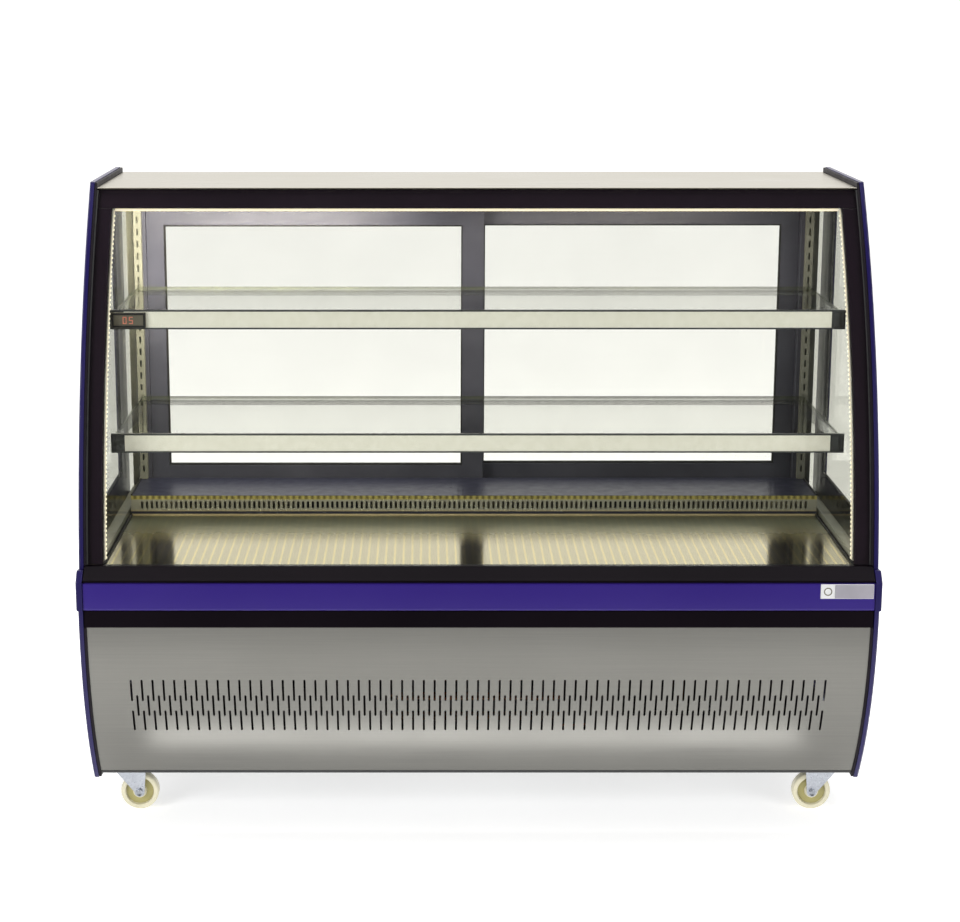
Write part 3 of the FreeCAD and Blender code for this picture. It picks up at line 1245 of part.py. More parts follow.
def caster_fork(label, x, y, side):
    """A raked fork with its swivel pin, and its axle as a separate solid. It trails inwards."""
    top = dim("base_bottom") - 17.5
    trail = dim("caster_trail")
    axle_z = dim("wheel_radius")
    axle = dim("axle_radius")
    inside, outside = size(13.5), size(16)
    eye = size(10)
    crown = box(f"{label}_crown", (-21, 38), (-outside, outside), (top - 3, top))
    pin = rod(f"{label}_pin", "Z", 0, 0, top - 1, dim("kingpin_radius"), 13)
    legs = []
    for word, hand in SIDES:
        outline = [(-21, top - 1.5), (trail - eye, axle_z), (trail + eye, axle_z), (38, top - 1.5)]
        arcs = {1: ((trail, axle_z - eye), None)}
        legs.append(extruded(f"{label}_leg_{word}", "XZ", *span(hand, inside, outside), outline, arcs))
    blank = joined(f"{label}_blank", [crown, pin] + legs)
    bore = rod(f"{label}_bore", "Y", trail, -(outside + 1), axle_z, axle, (outside + 1) * 2)
    fork = remaining(f"{label}_body", blank, [bore])
    shank = rod(f"{label}_shank", "Y", trail, -(outside + 1), axle_z, axle, (outside + 1) * 2)
    head = rod(f"{label}_head", "Y", trail, -(outside + 5), axle_z, 6.5, 5)
    nut = rod(f"{label}_nut", "Y", trail, outside, axle_z, 6.5, 5)
    bolt = joined(f"{label}_bolt", [shank, head, nut])
    turn = Rotation(Vector(0, 0, 1), 0 if side < 0 else 180)
    return place(group(label, [fork, bolt]), x, y, 0, turn)


def caster_wheel(label, x, y, side):
    """A nylon wheel with a rounded tread, a recessed web and a hub bored for the axle."""
    radius, hub = dim("wheel_radius"), dim("hub_radius")
    half, bore = dim("wheel_width") / 2, dim("axle_radius") + dim("running_gap")
    rim = radius - 9
    web = size(5)
    shoulder = size(4)
    diagonal = shoulder * (1 - math.sqrt(0.5))
    hub_half = half + 1
    outline = [(-hub_half, bore), (hub_half, bore), (hub_half, hub), (web, hub), (web, rim), (half, rim),
               (half, radius - shoulder), (half - shoulder, radius), (-(half - shoulder), radius),
               (-half, radius - shoulder), (-half, rim), (-web, rim), (-web, hub), (-hub_half, hub)]
    arcs = {6: ((half - diagonal, radius - diagonal), shoulder),
            8: ((-(half - diagonal), radius - diagonal), shoulder)}
    wheel = turned(label, outline, arcs, around="H_Axis")
    return place(wheel, x - dim("caster_trail") * side, y, radius, Rotation(Vector(0, 0, 1), 90))


def casters():
    nodes = caster_tops()
    for row in ("front", "rear"):
        y = behind_front(f"{row}_caster_y")
        for word, side in SIDES:
            x = dim("caster_x") * side
            nodes.append(caster_fork(f"{row}_{word}_caster_fork", x, y, side))
            nodes.append(caster_wheel(f"{row}_{word}_caster_wheel", x, y, side))
    return nodes


# ---------------------------------------------------------------- assembly

nodes = side_walls() + front_window() + bumper_zone() + slotted_skirt() + roof()
nodes += display_floor() + uprights() + shelves() + rear_opening()
for side_word, side_sign in SIDES:
    nodes += sliding_door(side_word, side_sign)
nodes += rear_panels() + [rocker_switch(word) for word in SWITCH_X]
nodes += base() + compressor() + condenser() + fans() + evaporator() + pipes() + casters()

doc.recompute()
for item in doc.Objects:
    if "Invalid" in item.State or "Error" in item.State:
        raise RuntimeError(f"{item.Label} failed: {item.State}")

os.makedirs("parts", exist_ok=True)
for node in nodes:
    shape = node.Shape
    if shape.isNull() or not shape.isValid() or not shape.Solids:
        raise RuntimeError(f"{node.Label} has no valid solid")
    shape.exportStep(f"parts/{node.Label}.step")
    reach = shape.optimalBoundingBox()
    print(f"{node.Label:26} {len(shape.Solids):3} solids  X {reach.XMin:8.1f} {reach.XMax:8.1f}"
          f"  Y {reach.YMin:7.1f} {reach.YMax:7.1f}  Z {reach.ZMin:7.1f} {reach.ZMax:7.1f}")
print(len(nodes), "nodes")
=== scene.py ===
import json
import math
import bmesh
import bpy
from mathutils import Matrix, Vector


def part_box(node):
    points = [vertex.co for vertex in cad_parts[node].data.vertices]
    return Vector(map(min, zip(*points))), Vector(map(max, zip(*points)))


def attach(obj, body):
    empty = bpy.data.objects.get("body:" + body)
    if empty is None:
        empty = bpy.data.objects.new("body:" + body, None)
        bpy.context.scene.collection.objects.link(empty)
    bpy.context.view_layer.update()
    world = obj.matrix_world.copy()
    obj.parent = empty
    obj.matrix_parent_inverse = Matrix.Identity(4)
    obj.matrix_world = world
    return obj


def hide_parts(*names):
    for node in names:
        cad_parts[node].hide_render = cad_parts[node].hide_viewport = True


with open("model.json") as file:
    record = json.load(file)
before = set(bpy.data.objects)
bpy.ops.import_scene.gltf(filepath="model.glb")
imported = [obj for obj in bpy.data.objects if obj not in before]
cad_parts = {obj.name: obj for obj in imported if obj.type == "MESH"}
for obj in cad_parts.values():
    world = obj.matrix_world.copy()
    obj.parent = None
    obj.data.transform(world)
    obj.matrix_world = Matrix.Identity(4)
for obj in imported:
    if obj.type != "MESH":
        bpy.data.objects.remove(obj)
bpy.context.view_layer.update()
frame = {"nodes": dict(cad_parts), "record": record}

RECORD = frame["record"]
SLOT_OF = {entry["node"]: entry["material_slot"] for entry in RECORD["subparts"]}
BODY_OF = {node: body for body, nodes in RECORD["behaviour"]["bodies"].items() for node in nodes}
SIDES = (("left", -1), ("right", 1))


# ---- materials

# the wave texture's scale for bands one metre apart
WAVE_SCALE = 0.314


def srgb(red, green, blue):
    """A colour given as it looks on screen, in 0 to 255, as linear light."""
    def linear(value):
        value /= 255
        return value / 12.92 if value <= 0.04045 else ((value + 0.055) / 1.055) ** 2.4
    return linear(red), linear(green), linear(blue)


class Finish:
    """A material under construction: one Principled shader and the nodes that feed it."""

    def __init__(self, name, **sockets):
        self.material = bpy.data.materials.new(name)
        self.material.use_nodes = True
        self.tree = self.material.node_tree
        self.shader = self.tree.nodes["Principled BSDF"]
        for socket, value in sockets.items():
            self.shader.inputs[socket.replace("_", " ")].default_value = value

    def node(self, kind, inputs=None, **settings):
        """Adds a shader node. Its inputs are values or other nodes' sockets."""
        made = self.tree.nodes.new(f"ShaderNode{kind}")
        for key, value in settings.items():
            setattr(made, key, value)
        for key, value in (inputs or {}).items():
            if isinstance(value, bpy.types.NodeSocket):
                self.tree.links.new(value, made.inputs[key])
            else:
                made.inputs[key].default_value = value
        return made

    def link(self, output, socket):
        self.tree.links.new(output, self.shader.inputs[socket])

    def place(self, stretch=(1, 1, 1)):
        """Object coordinates in metres, stretched by a factor for each axis."""
        where = self.node("TexCoord").outputs["Object"]
        return self.node("Mapping", {"Vector": where, "Scale": stretch}).outputs["Vector"]

    def axis(self, letter):
        """One of the object coordinates, in metres."""
        return self.node("SeparateXYZ", {"Vector": self.place()}).outputs[letter]

    def noise(self, scale, detail=3, stretch=(1, 1, 1)):
        inputs = {"Vector": self.place(stretch), "Scale": scale, "Detail": detail, "Roughness": 0.55}
        return self.node("TexNoise", inputs).outputs["Fac"]

    def bands(self, pitch, axis, distortion, detail_scale=1.0):
        """Sine bands across an axis, at a pitch in metres."""
        inputs = {"Vector": self.place(), "Scale": WAVE_SCALE / pitch, "Distortion": distortion,
                  "Detail Scale": detail_scale}
        wave = self.node("TexWave", inputs, bands_direction=axis, wave_profile="SIN")
        return wave.outputs["Fac"]

    def spread(self, value, low, high, start=0.3, end=0.7):
        """Remaps a value from one range to another. A noise mostly lies between 0.3 and 0.7."""
        inputs = {"Value": value, "From Min": start, "From Max": end, "To Min": low, "To Max": high}
        return self.node("MapRange", inputs).outputs["Result"]

    def combine(self, first, second, operation):
        """Two values added, multiplied or raised to a power."""
        return self.node("Math", {0: first, 1: second}, operation=operation).outputs[0]

    def blend(self, factor, first, second):
        """A colour between two, by a factor."""
        mix = self.node("Mix", data_type="RGBA")
        self.tree.links.new(factor, mix.inputs[0])
        for socket, colour in ((mix.inputs[6], first), (mix.inputs[7], second)):
            if isinstance(colour, bpy.types.NodeSocket):
                self.tree.links.new(colour, socket)
            else:
                socket.default_value = (*colour, 1)
        return mix.outputs[2]

    def bump(self, height, strength, distance=0.0004):
        inputs = {"Height": height, "Strength": strength, "Distance": distance}
        self.link(self.node("Bump", inputs).outputs["Normal"], "Normal")


def paint(name, dark, light, roughness=0.3, coat=0.1, shine=0.3):
    """Sprayed paint: faint orange peel, slow changes of shade and slightly uneven gloss."""
    finish = Finish(name, Coat_Weight=coat, Coat_Roughness=0.1, Specular_IOR_Level=shine)
    tone = finish.blend(finish.spread(finish.noise(2.5, 1), 0, 1), srgb(*dark), srgb(*light))
    finish.link(tone, "Base Color")
    finish.link(finish.spread(finish.noise(9, 2), roughness - 0.02, roughness + 0.03), "Roughness")
    finish.bump(finish.noise(400, 2), 0.012)
    return finish.material


def brushed(name, dark, light, roughness, along="x", streak=420, depth=0.06):
    """Rolled and brushed metal: fine streaks along one axis and faint smears."""
    drawn_out = 0.012
    stretch = {"x": (drawn_out, 1, 1), "y": (1, drawn_out, 1), "z": (1, 1, drawn_out)}[along]
    finish = Finish(name, Metallic=1.0)
    streaks = finish.noise(streak, 4, stretch)
    smears = finish.noise(5, 4)
    tone = finish.blend(finish.spread(streaks, 0, 1), srgb(*dark), srgb(*light))
    finish.link(finish.blend(finish.spread(smears, 0, 0.35), tone, srgb(*light)), "Base Color")
    grain = finish.spread(streaks, -0.04, 0.04)
    smeared = finish.spread(smears, roughness - 0.03, roughness + 0.04)
    finish.link(finish.combine(grain, smeared, "ADD"), "Roughness")
    finish.bump(streaks, depth, 0.0002)
    return finish.material


def plastic(name, dark, light, roughness=0.4, grain=1400, depth=0.08, metallic=0.0, shine=0.5):
    """Moulded plastic or powder coat with a fine grain."""
    finish = Finish(name, Metallic=metallic, Specular_IOR_Level=shine)
    tone = finish.blend(finish.spread(finish.noise(12, 4), 0, 1), srgb(*dark), srgb(*light))
    finish.link(tone, "Base Color")
    finish.link(finish.spread(finish.noise(60, 4), roughness - 0.06, roughness + 0.08), "Roughness")
    finish.bump(finish.noise(grain, 2), depth)
    return finish.material


def spangled(name, dark, light, roughness=0.42, cell=140):
    """Zinc coated steel: crystal facets of slightly different shade."""
    finish = Finish(name, Metallic=1.0)
    cells = finish.node("TexVoronoi", {"Vector": finish.place(), "Scale": cell})
    shade = finish.node("SeparateColor", {"Color": cells.outputs["Color"]}).outputs[0]
    finish.link(finish.blend(shade, srgb(*dark), srgb(*light)), "Base Color")
    finish.link(finish.spread(shade, roughness - 0.1, roughness + 0.1, 0, 1), "Roughness")
    finish.bump(finish.noise(300, 3), 0.05)
    return finish.material


def clear(name, tint, mirror=0.04, most=0.9):
    """A clear pane: what is behind it shows through, and it mirrors more at a glancing angle."""
    finish = Finish(name)
    tree = finish.tree
    tree.nodes.remove(finish.shader)
    facing = finish.node("LayerWeight", {"Blend": 0.5}).outputs["Facing"]
    share = finish.spread(finish.combine(facing, 5.0, "POWER"), mirror, most, 0, 1)
    slightly_deeper = tuple(channel * 0.985 for channel in tint)
    shade = finish.blend(finish.spread(finish.noise(6), 0, 1), tint, slightly_deeper)
    through = finish.node("BsdfTransparent", {"Color": shade}).outputs[0]
    mirrored = finish.node("BsdfGlossy", {"Roughness": 0.01}).outputs[0]
    mix = finish.node("MixShader", {0: share, 1: through, 2: mirrored})
    output = [item for item in tree.nodes if item.type == "OUTPUT_MATERIAL"][0]
    tree.links.new(mix.outputs[0], output.inputs["Surface"])
    return finish.material


def glowing(name, dark, light, strength):
    """A lamp's lens or a lit segment, a little uneven from chip to chip, and also the painted glow of a part
    that is no lamp.
    """
    finish = Finish(name, Roughness=0.3, Emission_Strength=strength)
    shade = finish.blend(finish.spread(finish.noise(80), 0, 1), dark, light)
    finish.link(shade, "Emission Color")
    finish.link(shade, "Base Color")
    finish.material.cycles.emission_sampling = "NONE"
    return finish.material


def finned(name, dark, light, pitch, axis):
    """A stack of thin fins, drawn as fine lines: light lines for the fins, dark lines of painted shade for
    the gaps between them.
    """
    finish = Finish(name, Metallic=1.0)
    lines = finish.bands(pitch, axis, 0.6, 0.4)
    # the dark lines are painted shade in the gaps between the fins
    finish.link(finish.blend(lines, srgb(*dark), srgb(*light)), "Base Color")
    finish.link(finish.spread(finish.noise(40, 4), 0.35, 0.55), "Roughness")
    finish.bump(lines, 0.5, 0.001)
    return finish.material


def deck_finish():
    """Polished sheet, with painted reflections of the row of lamps: warm streaks, strongest at the front."""
    finish = Finish("deck_steel", Metallic=1.0)
    depth = finish.axis("Y")
    lamp_reflection_pitch, front, middle = 0.0166, -0.16, -0.02
    # painted reflection: warm lines at the lamps' pitch, fading from the front towards the middle
    line = finish.spread(finish.bands(lamp_reflection_pitch, "X", 0.35, 2.0), 0, 0.55, 0.7, 1.0)
    near = finish.spread(depth, 1, 0.12, front, middle)
    streak = finish.combine(line, near, "MULTIPLY")
    rearward = finish.spread(depth, 0, 1, -0.1, 0.04)
    sheet = finish.blend(rearward, srgb(200, 190, 158), srgb(164, 170, 152))
    # the painted lamp reflections laid over the sheet's own colour
    finish.link(finish.blend(streak, sheet, srgb(252, 232, 160)), "Base Color")
    grain = finish.spread(finish.noise(60, 4, (1, 0.05, 1)), 0.0, 0.04)
    duller = finish.spread(depth, 0.09, 0.3, front, middle)
    finish.link(finish.combine(grain, duller, "ADD"), "Roughness")
    finish.bump(finish.noise(260, 3, (1, 0.012, 1)), 0.02)
    return finish.material


def riser_finish():
    """The air riser: a dark top, a painted reflection of the lamp row along its upper edge, broken into
    dashes, dull steel round the slots, a band of painted shadow and a bright foot.
    """
    finish = Finish("riser_steel", Metallic=0.55)
    low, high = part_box("rear_duct_grille")
    share = finish.spread(finish.axis("Z"), 0, 1, low.z, high.z)
    # painted light in these bands: shadow is a painted shadow, and edge is a painted reflection of the lamp
    # row
    foot, shadow, seam = srgb(226, 206, 164), srgb(60, 62, 76), srgb(206, 190, 152)
    steel, edge, top = srgb(186, 184, 170), srgb(216, 202, 120), srgb(44, 46, 66)
    glint_end, top_start = 0.985, 0.995
    stops = ((0.0, foot), (0.10, foot), (0.14, shadow), (0.23, shadow), (0.27, seam), (0.34, steel),
             (0.78, steel), (0.84, edge), (glint_end, edge), (top_start, top))
    heights = finish.node("ValToRGB", {"Fac": share})
    ramp = heights.color_ramp
    while len(ramp.elements) < len(stops):
        ramp.elements.new(1.0)
    for element, (position, colour) in zip(ramp.elements, stops):
        element.position = position
        element.color = (*colour, 1)
    # the painted reflection of the lamp row breaks into dashes, one for each lamp
    near_glint = finish.spread(share, 0, 0.75, 0.8, 0.86)
    below_top = finish.spread(share, 1, 0, glint_end, top_start)
    lamp_dash = finish.combine(near_glint, below_top, "MULTIPLY")
    lamp_dash = finish.combine(lamp_dash, finish.bands(0.0125, "X", 0.3), "MULTIPLY")
    finish.link(finish.blend(lamp_dash, heights.outputs["Color"], srgb(70, 64, 40)), "Base Color")
    finish.link(finish.spread(finish.noise(40, 4), 0.3, 0.42), "Roughness")
    finish.bump(finish.noise(300, 3, (0.02, 1, 1)), 0.03)
    return finish.material


# each finish: its darkest and lightest colour on screen, or as linear light for what glows or is clear
BLUE = paint("blue_paint", (47, 30, 118), (51, 34, 124))
# a darker copy of the blue paint, used for the end panels and the bumper's end caps, whose slot is the same
# blue_panel
DEEP_BLUE = paint("deep_blue_paint", (24, 17, 74), (30, 22, 82), 0.34)
BLACK_GLOSS = paint("black_gloss", (29, 20, 30), (37, 27, 38), 0.18, 0.02, 0.1)
TRIM_BLACK = plastic("trim_black", (24, 20, 26), (32, 27, 34), 0.5, 500, 0.02, shine=0.12)
DULL_BLACK = paint("dull_black", (12, 7, 13), (18, 12, 19), 0.3, 0.0, 0.06)
RUBBER = plastic("black_rubber", (16, 16, 17), (26, 26, 27), 0.62, 900, 0.2)
CLEAR_GLASS = clear("clear_glass", (0.975, 0.98, 0.96))
SIDE_GLASS = clear("side_glass", (0.97, 0.97, 0.95), 0.04, 0.3)
DOOR_GLASS = clear("door_glass", (0.985, 0.983, 0.972), 0.03)
SHELF_GLASS = clear("shelf_glass", (0.983, 0.988, 0.972), 0.05)
GLASS_EDGE = plastic("glass_edge", (44, 48, 40), (62, 66, 54), 0.2, 300, 0.02)
SKIRT_STEEL = brushed("skirt_steel", (124, 123, 119), (131, 130, 125), 0.36, "x", 420, 0.02)
ROOF_STEEL = brushed("roof_steel", (165, 160, 148), (174, 169, 157), 0.3)
DECK_STEEL = deck_finish()
GRILLE_STEEL = riser_finish()
STAINLESS = brushed("stainless", (140, 141, 136), (164, 165, 160), 0.4, "z")
CONTROL_STEEL = brushed("control_steel", (168, 168, 166), (192, 192, 190), 0.3)
SPACER = plastic("spacer_anodised", (176, 177, 168), (192, 193, 184), 0.4, 800, 0.05, 0.2)
PALE_COAT = plastic("upright_coat", (88, 89, 84), (100, 101, 96), 0.4, 900, 0.05, 0.2)
LED_CHANNEL = brushed("led_channel", (206, 204, 196), (228, 226, 218), 0.32)
FOAM = plastic("tub_skin", (198, 190, 160), (216, 208, 180), 0.5, 300, 0.2)
CHROME = brushed("chrome", (176, 180, 176), (206, 208, 204), 0.12, "x", 200, 0.01)
RAIL = plastic("rail_extrusion", (64, 66, 68), (84, 86, 88), 0.3, 1000, 0.05)
# the insert strip is no lamp: its faint glow is painted light, standing in for the light bars shining on it
PAINTED_GLOW_STRIP = glowing("insert_strip", srgb(238, 236, 222), srgb(246, 244, 232), 0.17)
DOOR_METAL = plastic("door_powder_coat", (41, 42, 53), (51, 52, 64), 0.42, 1600, 0.1)
GALVANISED = spangled("galvanised", (150, 152, 152), (180, 182, 182))
ZINC = spangled("zinc_plate", (176, 180, 188), (194, 198, 205), 0.36, 320)
BLACK_PLASTIC = plastic("black_plastic", (24, 24, 26), (36, 36, 38), 0.42)
GREY_PLASTIC = plastic("grey_plastic", (106, 102, 90), (126, 121, 108), 0.36)
BASE_COAT = plastic("base_powder_coat", (40, 40, 42), (54, 54, 56), 0.5, 1200, 0.15)
ENAMEL = paint("compressor_enamel", (14, 14, 15), (28, 28, 29), 0.3, 0.4, 0.5)
COPPER = brushed("copper", (176, 104, 70), (206, 134, 96), 0.3, "z", 120, 0.03)
COIL_FINS = finned("coil_fins", (90, 92, 94), (196, 198, 200), 0.004, "X")
ALUMINIUM = brushed("aluminium", (160, 162, 164), (192, 194, 196), 0.38, "z")
NYLON = plastic("cream_nylon", (206, 200, 170), (224, 219, 194), 0.3, 500, 0.05)
OLIVE = plastic("olive_hub", (150, 142, 84), (176, 168, 112), 0.36, 500, 0.06)
GREEN = plastic("green_rocker", (24, 120, 52), (34, 148, 66), 0.25, 500, 0.03)
RED = plastic("red_rocker", (150, 22, 18), (180, 34, 26), 0.25, 500, 0.03)
WHITE_PLASTIC = plastic("white_plastic", (226, 226, 226), (240, 240, 240), 0.35, 600, 0.03)
BADGE_PLATE = plastic("badge_plate", (168, 165, 174), (188, 185, 194), 0.34, 900, 0.05, 0.3)
SIDE_LAMP = glowing("lamp_lens", (0.62, 0.56, 0.44), (0.7, 0.64, 0.52), 0.5)
TOP_LAMP = glowing("top_lamp_lens", (1.0, 0.86, 0.62), (1.0, 0.9, 0.7), 0.9)
LAMP_CORE = glowing("lamp_core", (0.9, 0.82, 0.62), (0.95, 0.88, 0.7), 0.7)
DIGITS = glowing("display_digits", (0.55, 0.17, 0.11), (0.62, 0.22, 0.15), 0.4)
DISPLAY = plastic("display_window", (18, 10, 12), (28, 18, 20), 0.12, 300, 0.01)

FINISH_OF_SLOT = {
    "blue_panel": BLUE, "black_trim": BLACK_GLOSS, "clear_glass": CLEAR_GLASS, "spacer_bar": SPACER,
    "stainless": STAINLESS, "polished_steel": DECK_STEEL, "led_channel": LED_CHANNEL, "foam": FOAM,
    "chrome_tube": CHROME, "rail_plastic": RAIL, "insert_strip": PAINTED_GLOW_STRIP, "door_extrusion": DOOR_METAL,
    "galvanised": GALVANISED, "black_plastic": BLACK_PLASTIC, "frame_steel": BASE_COAT,
    "compressor_black": ENAMEL, "copper": COPPER, "fin_aluminium": ALUMINIUM, "zinc": ZINC,
    "nylon": NYLON, "red_rocker": RED, "green_rocker": GREEN, "badge_metal": BADGE_PLATE,
}
FINISH_OF_NODE = {
    "side_glass_left": SIDE_GLASS, "side_glass_right": SIDE_GLASS, "left_door_glass": DOOR_GLASS,
    "right_door_glass": DOOR_GLASS, "front_grille_panel": SKIRT_STEEL,
    "end_panel_left": DEEP_BLUE, "end_panel_right": DEEP_BLUE, "roof_panel": ROOF_STEEL,
    "rear_duct_grille": GRILLE_STEEL, "bumper_end_caps": DEEP_BLUE, "control_panel": CONTROL_STEEL,
    "evaporator_coil": COIL_FINS, "edge_trims": TRIM_BLACK, "lower_trim": DULL_BLACK,
    "shelf_uprights": PALE_COAT,
}


# ---- mesh helpers

# edges where a surface turns by more than this are hard, and are the ones that get rounded
CREASE = math.radians(35)
# points nearer to each other than this are one point
TOUCH = 0.00001


def block(mesh, low, high):
    """Adds a block from its low and high corners."""
    low, high = Vector(low), Vector(high)
    size = high - low
    middle = (low + high) / 2
    matrix = Matrix.Translation(middle) @ Matrix.Diagonal((size.x, size.y, size.z, 1))
    bmesh.ops.create_cube(mesh, size=1, matrix=matrix)


def picture_frame(mesh, x, y, z, wide):
    """Adds four bars round an opening, inside the outline. x, y and z are (low, high)."""
    block(mesh, (x[0], y[0], z[0]), (x[1], y[1], z[0] + wide))
    block(mesh, (x[0], y[0], z[1] - wide), (x[1], y[1], z[1]))
    block(mesh, (x[0], y[0], z[0] + wide), (x[0] + wide, y[1], z[1] - wide))
    block(mesh, (x[1] - wide, y[0], z[0] + wide), (x[1], y[1], z[1] - wide))


def rod(mesh, start, end, radius, far_radius=None, sides=24):
    """Adds a cylinder or a cone between two points."""
    start, end = Vector(start), Vector(end)
    axis = end - start
    matrix = Matrix.Translation((start + end) / 2) @ axis.to_track_quat("Z", "Y").to_matrix().to_4x4()
    bmesh.ops.create_cone(mesh, cap_ends=True, segments=sides, radius1=radius,
                          radius2=radius if far_radius is None else far_radius,
                          depth=axis.length, matrix=matrix)


def skin(mesh, rings, closed=False):
    """Joins rings of points with faces, and closes the ends unless the rings go right round."""
    pairs = list(zip(rings, rings[1:]))
    if closed:
        pairs.append((rings[-1], rings[0]))
    for first, second in pairs:
        for number in range(len(first)):
            following = (number + 1) % len(first)
            mesh.faces.new((first[number], first[following], second[following], second[number]))
    if not closed:
        mesh.faces.new(list(reversed(rings[0])))
        mesh.faces.new(rings[-1])


def strip_along_x(mesh, outline, low, high):
    """Adds a bar along X from an outline of (y, z) points."""
    skin(mesh, [[mesh.verts.new((x, y, z)) for y, z in outline] for x in (low, high)])


def turned(mesh, outline, centre, axis, sides=48, closed=False):
    """Adds a turned shape from (distance along the axis, radius) points.

    A closed outline makes a ring, and an open one makes a solid with flat ends.
    """
    turn = Vector(axis).to_track_quat("Z", "Y").to_matrix()
    rings = []
    for along, radius in outline:
        ring = []
        for step in range(sides):
            angle = 2 * math.pi * step / sides
            local = Vector((radius * math.cos(angle), radius * math.sin(angle), along))
            ring.append(mesh.verts.new(Vector(centre) + turn @ local))
        rings.append(ring)
    skin(mesh, rings, closed)


def collar(inner, outer, start, end):
    """The outline of a flat ring, for turned: two radii, and its ends along the axis."""
    return [(start, inner), (start, outer), (end, outer), (end, inner)]


def placed(name, data):
    """A new object in the scene."""
    item = bpy.data.objects.new(name, data)
    bpy.context.scene.collection.objects.link(item)
    return item


def sharpen(mesh):
    """Smooth shading with hard creases."""
    for face in mesh.polygons:
        face.use_smooth = True
    mesh.set_sharp_from_angle(angle=CREASE)


def rounding(item, width, segments):
    """Rounds an object's hard edges."""
    bevel = item.modifiers.new("rounding", "BEVEL")
    bevel.width = width
    bevel.segments = segments
    bevel.limit_method = "ANGLE"
    bevel.angle_limit = CREASE
    bevel.harden_normals = True


def piece(name, mesh, material, bevel=0.0, segments=2, body="root", node=None, others=()):
    """Makes a piece from a bmesh, with its material, slot, rounding and body.

    One that is given a node stands for that CAD node.
    """
    bmesh.ops.recalc_face_normals(mesh, faces=mesh.faces)
    data = bpy.data.meshes.new(name)
    mesh.to_mesh(data)
    mesh.free()
    item = placed(name, data)
    for finish in (material, *others):
        data.materials.append(finish)
    sharpen(data)
    if bevel:
        rounding(item, bevel, segments)
    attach(item, body)
    if node:
        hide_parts(node)


def finish_of(node):
    """A CAD node's own finish, or else its slot's."""
    return FINISH_OF_NODE.get(node) or FINISH_OF_SLOT[SLOT_OF[node]]


def recoat(node):
    """Gives a CAD node its finish."""
    data = frame["nodes"][node].data
    data.materials.clear()
    data.materials.append(finish_of(node))


def dressed(node, width):
    """A copy of a CAD node with rounded edges, which stands for it."""
    mesh = bmesh.new()
    mesh.from_mesh(frame["nodes"][node].data)
    bmesh.ops.remove_doubles(mesh, verts=mesh.verts, dist=TOUCH)
    bmesh.ops.dissolve_limit(mesh, angle_limit=math.radians(0.5), verts=mesh.verts, edges=mesh.edges,
                             use_dissolve_boundaries=False)
    piece(f"{node}_dressed", mesh, finish_of(node), width, body=BODY_OF[node], node=node)


def mid(low, high):
    """Halfway between two values."""
    return (low + high) / 2


def ordered(first, second):
    """Two values, the smaller one first."""
    return (first, second) if first < second else (second, first)


# the case's side profile is one arc above the bumper and one below it
UPPER_ARC = {"radius": 1.4, "y": 1.0767, "z": 0.3558}
LOWER_ARC = {"radius": 0.64, "y": 0.3029, "z": 0.4618}


def arc_y(arc, z, inset):
    """Y on one of the profile's arcs at a height, moved inwards by inset."""
    return arc["y"] - math.sqrt((arc["radius"] - inset) ** 2 - (z - arc["z"]) ** 2)


def arc_band(mesh, x, z, front_inset, back_inset, arc=UPPER_ARC, steps=32):
    """Adds a curved bar that follows an arc between two heights. x and z are (low, high)."""
    rings = []
    for step in range(steps + 1):
        height = z[0] + (z[1] - z[0]) * step / steps
        front, back = arc_y(arc, height, front_inset), arc_y(arc, height, back_inset)
        corners = ((x[0], front), (x[1], front), (x[1], back), (x[0], back))
        rings.append([mesh.verts.new((*corner, height)) for corner in corners])
    skin(mesh, rings)


# ---- CAD nodes

# edge rounding of the CAD nodes that are shown as a copy with rounded edges
DRESSED = {
    "edge_trims": 0.0012, "front_frame": 0.0012, "lower_trim": 0.0015, "roof_panel": 0.0012,
    "bumper_end_caps": 0.0008, "upper_shelf_frame": 0.0006, "lower_shelf_frame": 0.0006,
    "price_rails": 0.0003, "price_inserts": 0.0003, "rear_frame": 0.0008, "left_door_frame": 0.001,
    "right_door_frame": 0.001, "deck": 0.0006, "base_frame": 0.003, "base_tray": 0.0006,
    "condensate_tray": 0.001, "power_switch": 0.0008, "light_switch": 0.0008,
    "rear_service_panel": 0.0004, "control_panel": 0.0004, "caster_plates": 0.0008,
    "condenser_fan_shroud": 0.0006, "evaporator_fan_frames": 0.0008, "bumper": 0.0006,
}
REBUILT = {"upper_shelf_glass", "lower_shelf_glass", "badge", "thermometer", "panel_screws",
           "temperature_controller", "condenser_coil", "led_bars"}
CASTERS = [(row, word, side) for row in ("front", "rear") for word, side in SIDES]
for row, word, _ in CASTERS:
    DRESSED[f"{row}_{word}_caster_fork"] = 0.0006
    REBUILT.add(f"{row}_{word}_caster_wheel")

for node_name, edge_width in DRESSED.items():
    dressed(node_name, edge_width)
for node_name in frame["nodes"]:
    if node_name not in DRESSED and node_name not in REBUILT:
        recoat(node_name)

# the sill along the foot of the front frame is duller than its stiles
SILL_TOP = 0.54
sill = bpy.data.objects["front_frame_dressed"].data
sill.materials.append(DULL_BLACK)
for face in sill.polygons:
    face.material_index = int(face.center.z < SILL_TOP)


# ---- glass and light

def shelf_glass(word):
    """A shelf's pane with polished, dark edges."""
    node = f"{word}_shelf_glass"
    upright_face = 0.8
    mesh = bmesh.new()
    block(mesh, *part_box(node))
    bmesh.ops.bevel(mesh, geom=mesh.edges[:], offset=0.0008, segments=2, affect="EDGES")
    mesh.normal_update()
    for face in mesh.faces:
        if abs(face.normal.z) < upright_face:
            face.material_index = 1
    piece(f"{word}_shelf_pane", mesh, SHELF_GLASS, node=node, others=(GLASS_EDGE,))


# the light bars: depth, pitch of the lamps, distance behind the case's profile, half a lamp's width
LIGHT_DEPTH, LIGHT_PITCH, LIGHT_INSET, CHIP = 0.008, 0.0083, 0.0143, 0.0017


